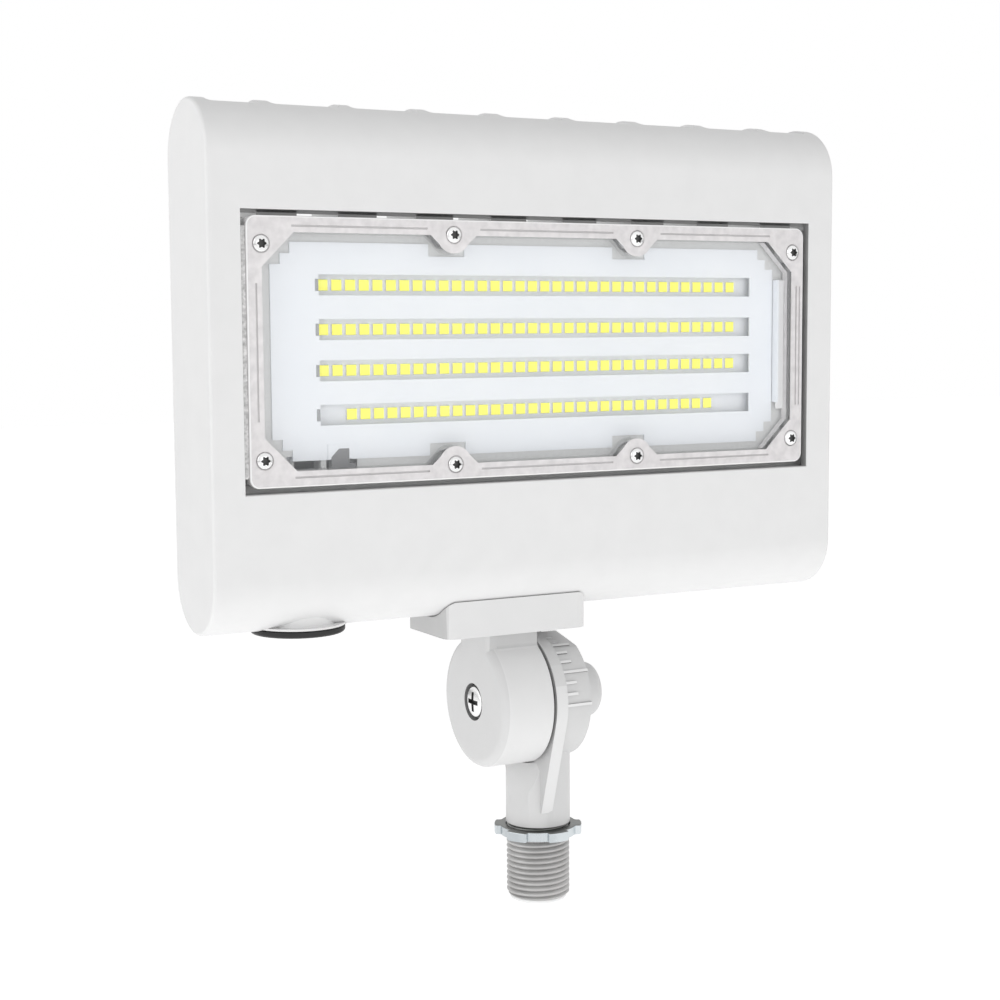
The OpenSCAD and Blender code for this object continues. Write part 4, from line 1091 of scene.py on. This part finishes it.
@dataclass
class Mount(Assembly):
    """The saddle bracket with its screws.

    Attributes:
        plate_z: Height of the plate's underside.
        centre_x: X of the plate's middle.
        drum_left: X of the drum's outer face.
        axis_z: Height of the tilt axis.
        screw_places: X and Y of each bracket screw.
        sink: Depth of the screw seats above the underside.
    """

    plate_z: float = 90.8
    centre_x: float = -15.0
    drum_left: float = -24.0
    axis_z: float = 67.0
    screw_places: tuple[tuple[float, float], ...] = ((-34.65, -9.3), (-34.65, 9.3), (4.55, -9.3), (4.55, 9.3))
    sink: float = 1.6

    def build(self) -> None:
        """Round the bracket's edges and set its screws."""
        piece = cast("mount_bracket", "saddle_bracket")
        soften(piece, 0.6, 30, 3)
        finishes = (Finish.KNUCKLE, Finish.RECESS_SHADE, Finish.PALE, Finish.PAINTED_SHADE)
        self.fit(smooth(piece), "mount_bracket", "white_coat", *finishes)
        # paint the bracket plate's end faces darker: painted shade under the head
        self.paint(piece, 3, lambda at, way: abs(way.x) > 0.7 and abs(at.x - self.centre_x) > 25)
        # paint the plate's front and back faces lighter: painted light
        self.paint(piece, 2, lambda at, way: abs(way.x) <= 0.7 and abs(way.y) > 0.5 and abs(at.y) > 13.2 and at.z > self.plate_z)
        # paint the neck's faces under the plate darker: painted shade under the plate
        self.paint(piece, 3, lambda at, way: abs(way.y) > 0.7 and self.drum_left + 1 < at.x < -5
                   and self.plate_z - 5 < at.z < self.plate_z and abs(at.y) < 12)
        # paint the drum's round side lighter: painted light
        self.paint(piece, 2, lambda at, way: abs(way.x) < 0.3 and 20 < math.hypot(at.y, at.z - self.axis_z) < 21.5)
        # paint the drum's screw recess dark grey: painted shade in the recess
        self.paint(piece, 1, lambda at, way: self.drum_left + 0.25 < at.x < self.drum_left + 4
                   and math.hypot(at.y, at.z - self.axis_z) < 7)
        master = Screw("bracket_screw", 3.5, 2.2, 2.0, 14.7, 1.6).build()
        stand(master, (180, 0, 0), (0, 0, 0))
        places = [(x, y, self.plate_z + self.sink) for x, y in self.screw_places]
        self.fit(join("bracket_screw_set", repeat(master, places)), "bracket_screws", "screw_steel", Finish.SCREW)


@dataclass
class Knuckle(Assembly):
    """The arm with its angle scale, and the clamp screw.

    Attributes:
        axis_z: Height of the tilt axis.
        seat_x: X of the clamp screw's seat.
        scale_x: Lowest and highest X of the scale.
        strap_x: X of the strap's left face.
        tick_r: Radius above which the scale's marks stand.
    """

    axis_z: float = 67.0
    seat_x: float = -21.9
    scale_x: tuple[float, float] = (-0.7, 8.5)
    strap_x: float = -4.7
    tick_r: float = 20.47

    def build(self) -> None:
        """Round the arm's edges and make the clamp screw."""
        piece = cast("knuckle_arm", "graduated_arm")
        soften(piece, 0.35, 30)
        finishes = (Finish.ARM_COAT, Finish.TICK, Finish.TICK_SIDE, Finish.PAINTED_SHADE, Finish.PALE, Finish.KNUCKLE)
        self.fit(smooth(piece), "knuckle_arm", "arm_coat", *finishes)
        # paint the strap's outer edge lighter in two steps towards the bottom: painted light from below
        for index, top in ((5, 13), (4, 7)):
            self.paint(piece, index, lambda at, way: abs(way.x) < 0.5 and at.z < self.axis_z + top and self.on_strap(at))
        # paint the strap's left face darker: painted shade under the drum
        self.paint(piece, 3, lambda at, way: way.x < -0.9 and abs(at.x - self.strap_x) < 0.1)
        # paint the marks' outward faces pale and their sides dark: painted highlight and shade
        for index, low, high in ((1, 0.9, 2), (2, -2, 0.9)):
            self.paint(piece, index, lambda at, way: self.on_tick(at) and low < self.outward(at, way) <= high)
        screw = Screw("cross_screw", 5.0, 2.4, 2.5, 37, 3.2, cross=True, dome=0.35).build()
        stand(screw, (0, -90, 0), (self.seat_x, 0, self.axis_z))
        self.fit(screw, "clamp_screw", "screw_steel", Finish.SCREW, Finish.SOCKET)
        # paint the cross recess near-black: painted shade in the recess
        self.paint(screw, 1, lambda at, way: at.x < self.seat_x - 0.3 and (abs(way.x) < 0.6 or at.x > self.seat_x - 1)
                   and math.hypot(at.y, at.z - self.axis_z) < 3.4)

        # a thin washer in the joint, dark grey as painted shade in the gap between drum and strap
        washer = turn("joint_washer_and_gap_shade", [(15, 0), (20.4, 0), (20.4, 0.35), (15, 0.35), (15, 0)], 96, False)
        stand(washer, (0, -90, 0), (self.strap_x, 0, self.axis_z))
        self.palette.dress(smooth(washer), Finish.RECESS_SHADE)
        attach(washer, self.body)
        LOG.info("%s: %d faces", washer.name, len(washer.data.polygons))

    def on_strap(self, at: Vector) -> bool:
        """Tell whether a point is on the outer edge of the strap."""
        if not self.strap_x - 0.1 < at.x < self.scale_x[0]:
            return False
        if at.z > self.axis_z - 15:
            return math.hypot(at.y, at.z - self.axis_z) > 20.3
        return at.z > 26 and math.hypot(at.x, at.y) > 10.7

    def on_tick(self, at: Vector) -> bool:
        """Tell whether a point is on a raised mark of the scale."""
        return self.scale_x[0] < at.x < self.scale_x[1] and self.tick_r < math.hypot(at.y, at.z - self.axis_z) < 24

    def outward(self, at: Vector, way: Vector) -> float:
        """Give the share of a normal that points away from the tilt axis."""
        reach = Vector((0, at.y, at.z - self.axis_z))
        return reach.normalized().dot(way)


@dataclass
class Stem(Assembly):
    """The threaded nipple, its bushing and the locknut.

    Attributes:
        thread_r: Major radius of the thread.
        depth: Depth of the thread.
        pitch: Pitch of the thread.
        length: Length of the thread.
        bore_r: Radius of the wire way.
        nut_top: Height of the locknut's upper face; not used.
        nut_t: Thickness of the locknut; not used.
    """

    thread_r: float = 10.48
    depth: float = 1.05
    pitch: float = 1.814
    length: float = 24.75
    bore_r: float = 8.2
    nut_top: float = 23.85
    nut_t: float = 2.7

    def nipple(self) -> None:
        """Wind the thread, chamfer its lower end and bore it through."""
        steps = 10
        profile = [(self.thread_r - self.depth * (1 - math.sin(math.pi * i / steps)), i / steps * self.pitch)
                   for i in range(steps + 1)]
        deselect()
        bpy.ops.mesh.primitive_plane_add(size=MM)
        piece = bpy.context.object
        piece.name = piece.data.name = "threaded_stem"
        edit(piece)
        bpy.ops.mesh.select_all(action="SELECT")
        bpy.ops.mesh.merge(type="CENTER")
        bpy.ops.transform.translate(value=(profile[0][0] * MM, 0, -2 * self.pitch * MM))
        for (r0, z0), (r1, z1) in zip(profile, profile[1:]):
            bpy.ops.mesh.extrude_region_move(
                TRANSFORM_OT_translate={"value": ((r1 - r0) * MM, 0, (z1 - z0) * MM)})
        bpy.ops.object.mode_set(mode="OBJECT")
        turns = math.ceil(self.length / self.pitch) + 3
        apply_modifier(
            piece, "SCREW", screw_offset=self.pitch * MM, iterations=turns, steps=72, render_steps=72,
            angle=2 * math.pi, use_merge_vertices=True, merge_threshold=0.000002,
        )
        for height, below in ((-0.4, True), (self.length + 0.2, False)):
            edit(piece)
            bpy.ops.mesh.select_all(action="SELECT")
            bpy.ops.mesh.bisect(
                plane_co=(0, 0, height * MM), plane_no=(0, 0, 1), use_fill=True,
                clear_inner=below, clear_outer=not below,
            )
        bpy.ops.mesh.select_all(action="SELECT")
        bpy.ops.mesh.remove_doubles(threshold=0.000001)
        bpy.ops.mesh.normals_make_consistent(inside=False)
        bpy.ops.object.mode_set(mode="OBJECT")
        r, l = self.thread_r, self.length
        carve(piece, turn("blank", [(r - 1.1, 0), (r - 0.1, 0.9), (r + 1, 2.4), (r + 1, l), (r - 1.1, l)], 96), "INTERSECT")
        carve(piece, turn("bore", [(self.bore_r, -1), (self.bore_r, l + 1)], 64))
        sleeve = turn("sleeve", [(9.3, l + 0.01), (9.3, l + 10), (8.2, l + 10), (8.2, l + 0.01), (9.3, l + 0.01)], 64, False)
        piece = join("threaded_stem", [piece, sleeve])
        self.fit(smooth(piece, 45), "threaded_nipple", "nipple_zinc", Finish.NIPPLE, Finish.ZINC_SHADE)
        # paint the stem above the nut dark: painted shade under the arm
        self.paint(piece, 1, lambda at, way: at.z > 23.7)

    def bushing(self) -> None:
        """Turn the bushing with its rounded lip."""
        b = 7.2
        profile = [
            (b, -0.7), (b + 0.15, -1.0), (b + 0.5, -1.2), (8.9, -1.2), (9.25, -1.05), (9.4, -0.7), (9.4, -0.3),
            (9.2, -0.02), (8.18, -0.02), (8.18, 7.9), (b, 7.9), (b, -0.7),
        ]
        piece = turn("wire_bushing", profile, 72, False)
        self.fit(smooth(piece, 50), "insulating_bushing", "bushing_plastic", Finish.BUSHING)

    def build(self) -> None:
        """Make the nipple and the bushing."""
        self.nipple()
        self.bushing()


@dataclass
class Locknut(Assembly):
    """The lugged locknut.

    Attributes:
        top_z: Height of its upper face.
        swell: Share that its lugs stand deeper than the plain nut.
    """

    top_z: float = 23.85
    swell: float = 1.2

    def build(self) -> None:
        """Round the nut, with its upward faces painted dark as a painted reflection."""
        piece = cast("locknut", "lugged_nut", 0.2)
        edit(piece)
        bpy.ops.mesh.select_all(action="SELECT")
        bpy.ops.transform.resize(value=(1, 1, self.swell), center_override=(0, 0, self.top_z * MM))
        bpy.ops.object.mode_set(mode="OBJECT")
        soften(piece, 0.4, 40, 3)
        smooth(piece, 40)
        self.fit(piece, "locknut", "nut_zinc", Finish.NUT, Finish.ZINC_SHADE)
        # paint the nut's upward faces dark: a painted dark reflection
        self.paint(piece, 1, lambda at, way: way.z > 0.5)


@dataclass
class Studio:
    """White room, soft lamps and the camera at the photo's viewpoint.

    Attributes:
        eye: The camera's place in metres.
        azimuth: Turn of the view from +Y towards +X, in degrees.
        pitch: Downward pitch in degrees.
        roll: Roll in degrees.
        lens: Focal length on a 36 mm square sensor.
        floor_z: Height of the floor in metres.
        horizon: Strength of the diffuse light from the sides.
        zenith: Strength of the diffuse light from above.
        behind: Share of the light that comes from behind.
    """

    eye: Point = (-0.2909, -0.5079, 0.1885)
    azimuth: float = 28.63
    pitch: float = 5.56
    roll: float = -0.343
    lens: float = 64.764
    floor_z: float = -0.06
    horizon: float = 0.98
    zenith: float = 0.42
    behind: float = 0.6

    def camera(self) -> None:
        """Add the camera."""
        deselect()
        bpy.ops.object.camera_add(location=self.eye)
        camera = bpy.context.object
        a, e = math.radians(self.azimuth), math.radians(self.pitch)
        forward = Vector((math.sin(a) * math.cos(e), math.cos(a) * math.cos(e), -math.sin(e)))
        turn = forward.to_track_quat("-Z", "Y").to_matrix().to_4x4()
        turn = turn @ Matrix.Rotation(math.radians(self.roll), 4, "Z")
        camera.matrix_world = Matrix.Translation(self.eye) @ turn
        camera.data.sensor_width = 36
        camera.data.lens = self.lens
        camera.data.clip_start = 0.01
        bpy.context.scene.camera = camera

    def lamp(self, place: Point, size: float, watts: float, aim: Point = (-0.005, 0, 0.15)) -> None:
        """Add one soft square lamp.

        Args:
            place: Where it hangs, in metres.
            size: Side of the lamp in metres.
            watts: Its power.
            aim: The point that it faces, in metres.
        """
        deselect()
        bpy.ops.object.light_add(type="AREA", location=place)
        lamp = bpy.context.object
        lamp.data.size = size
        lamp.data.energy = watts
        lamp.visible_camera = False
        way = Vector(aim) - Vector(place)
        lamp.rotation_euler = way.to_track_quat("-Z", "Y").to_euler()

    def floor(self) -> None:
        """Add the pale floor, white to the camera where no shadow falls."""
        deselect()
        bpy.ops.mesh.primitive_plane_add(size=8, location=(0, 0, self.floor_z))
        floor = bpy.context.object
        floor.name = "floor"
        graph = Graph("floor")
        graph.set(Base_Color=(0.8, 0.8, 0.8, 1), Roughness=0.9)
        rays = graph.nodes.new("ShaderNodeLightPath")
        graph.set(Emission_Color=(1, 1, 1, 1))
        seen = graph.nodes.new("ShaderNodeMath")
        seen.operation = "MULTIPLY"
        seen.inputs[1].default_value = 0.6
        graph.link(rays.outputs["Is Camera Ray"], seen.inputs[0])
        graph.link(seen.outputs["Value"], graph.shader.inputs["Emission Strength"])
        floor.data.materials.append(graph.material)

    def sky(self) -> None:
        """Light the scene from all round, and show white to the camera and to gloss."""
        world = bpy.data.worlds.new("studio")
        bpy.context.scene.world = world
        world.use_nodes = True
        nodes, links = world.node_tree.nodes, world.node_tree.links
        nodes.clear()
        rays = nodes.new("ShaderNodeLightPath")
        seen = nodes.new("ShaderNodeMath")
        seen.operation = "ADD"
        links.new(rays.outputs["Is Camera Ray"], seen.inputs[0])
        links.new(rays.outputs["Is Glossy Ray"], seen.inputs[1])
        also = nodes.new("ShaderNodeMath")
        also.operation = "ADD"
        also.use_clamp = True
        links.new(seen.outputs["Value"], also.inputs[0])
        links.new(rays.outputs["Is Transmission Ray"], also.inputs[1])
        place = nodes.new("ShaderNodeTexCoord")
        split = nodes.new("ShaderNodeSeparateXYZ")
        links.new(place.outputs["Generated"], split.inputs["Vector"])
        fade = nodes.new("ShaderNodeMapRange")
        fade.inputs["From Min"].default_value = 0.0
        fade.inputs["From Max"].default_value = 0.9
        fade.inputs["To Min"].default_value = self.horizon
        fade.inputs["To Max"].default_value = self.zenith
        links.new(split.outputs["Z"], fade.inputs["Value"])
        back = nodes.new("ShaderNodeMapRange")
        back.inputs["From Min"].default_value = -0.1
        back.inputs["From Max"].default_value = 0.6
        back.inputs["To Min"].default_value = 1.0
        back.inputs["To Max"].default_value = self.behind
        links.new(split.outputs["Y"], back.inputs["Value"])
        both = nodes.new("ShaderNodeMath")
        both.operation = "MULTIPLY"
        links.new(fade.outputs["Result"], both.inputs[0])
        links.new(back.outputs["Result"], both.inputs[1])
        strength = nodes.new("ShaderNodeMix")
        links.new(both.outputs["Value"], strength.inputs["A"])
        strength.inputs["B"].default_value = 1.0
        links.new(also.outputs["Value"], strength.inputs["Factor"])
        background = nodes.new("ShaderNodeBackground")
        background.inputs["Color"].default_value = (1, 1, 1, 1)
        links.new(strength.outputs["Result"], background.inputs["Strength"])
        output = nodes.new("ShaderNodeOutputWorld")
        links.new(background.outputs["Background"], output.inputs["Surface"])

    def build(self) -> None:
        """Set up camera, floor, sky and lamps."""
        bpy.context.scene.view_settings.view_transform = "Standard"
        self.camera()
        self.floor()
        self.sky()
        self.lamp((-1.2, 0.0, 0.6), 1.0, 3.5)
        self.lamp((0.1, -1.4, 0.2), 1.2, 2.75)
        self.lamp((0.0, -0.2, self.floor_z + 0.01), 2.0, 8.2, (0, -0.2, 1))
        LOG.info("studio ready")


def main() -> None:
    """Build the dressed flood light and its studio."""
    logging.basicConfig(level=logging.INFO, format="%(name)s: %(message)s")
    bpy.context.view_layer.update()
    Studio().build()
    palette = Palette()
    palette.dress_nodes()
    LOG.info("nodes dressed")
    Head(palette, "head").build()
    Rear(palette, "head").build()
    Port(palette, "cap").build()
    Mount(palette, "head").build()
    Knuckle(palette, "knuckle").build()
    Stem(palette, "knuckle").build()
    Locknut(palette, "nut").build()


if __name__ == "__main__":
    main()
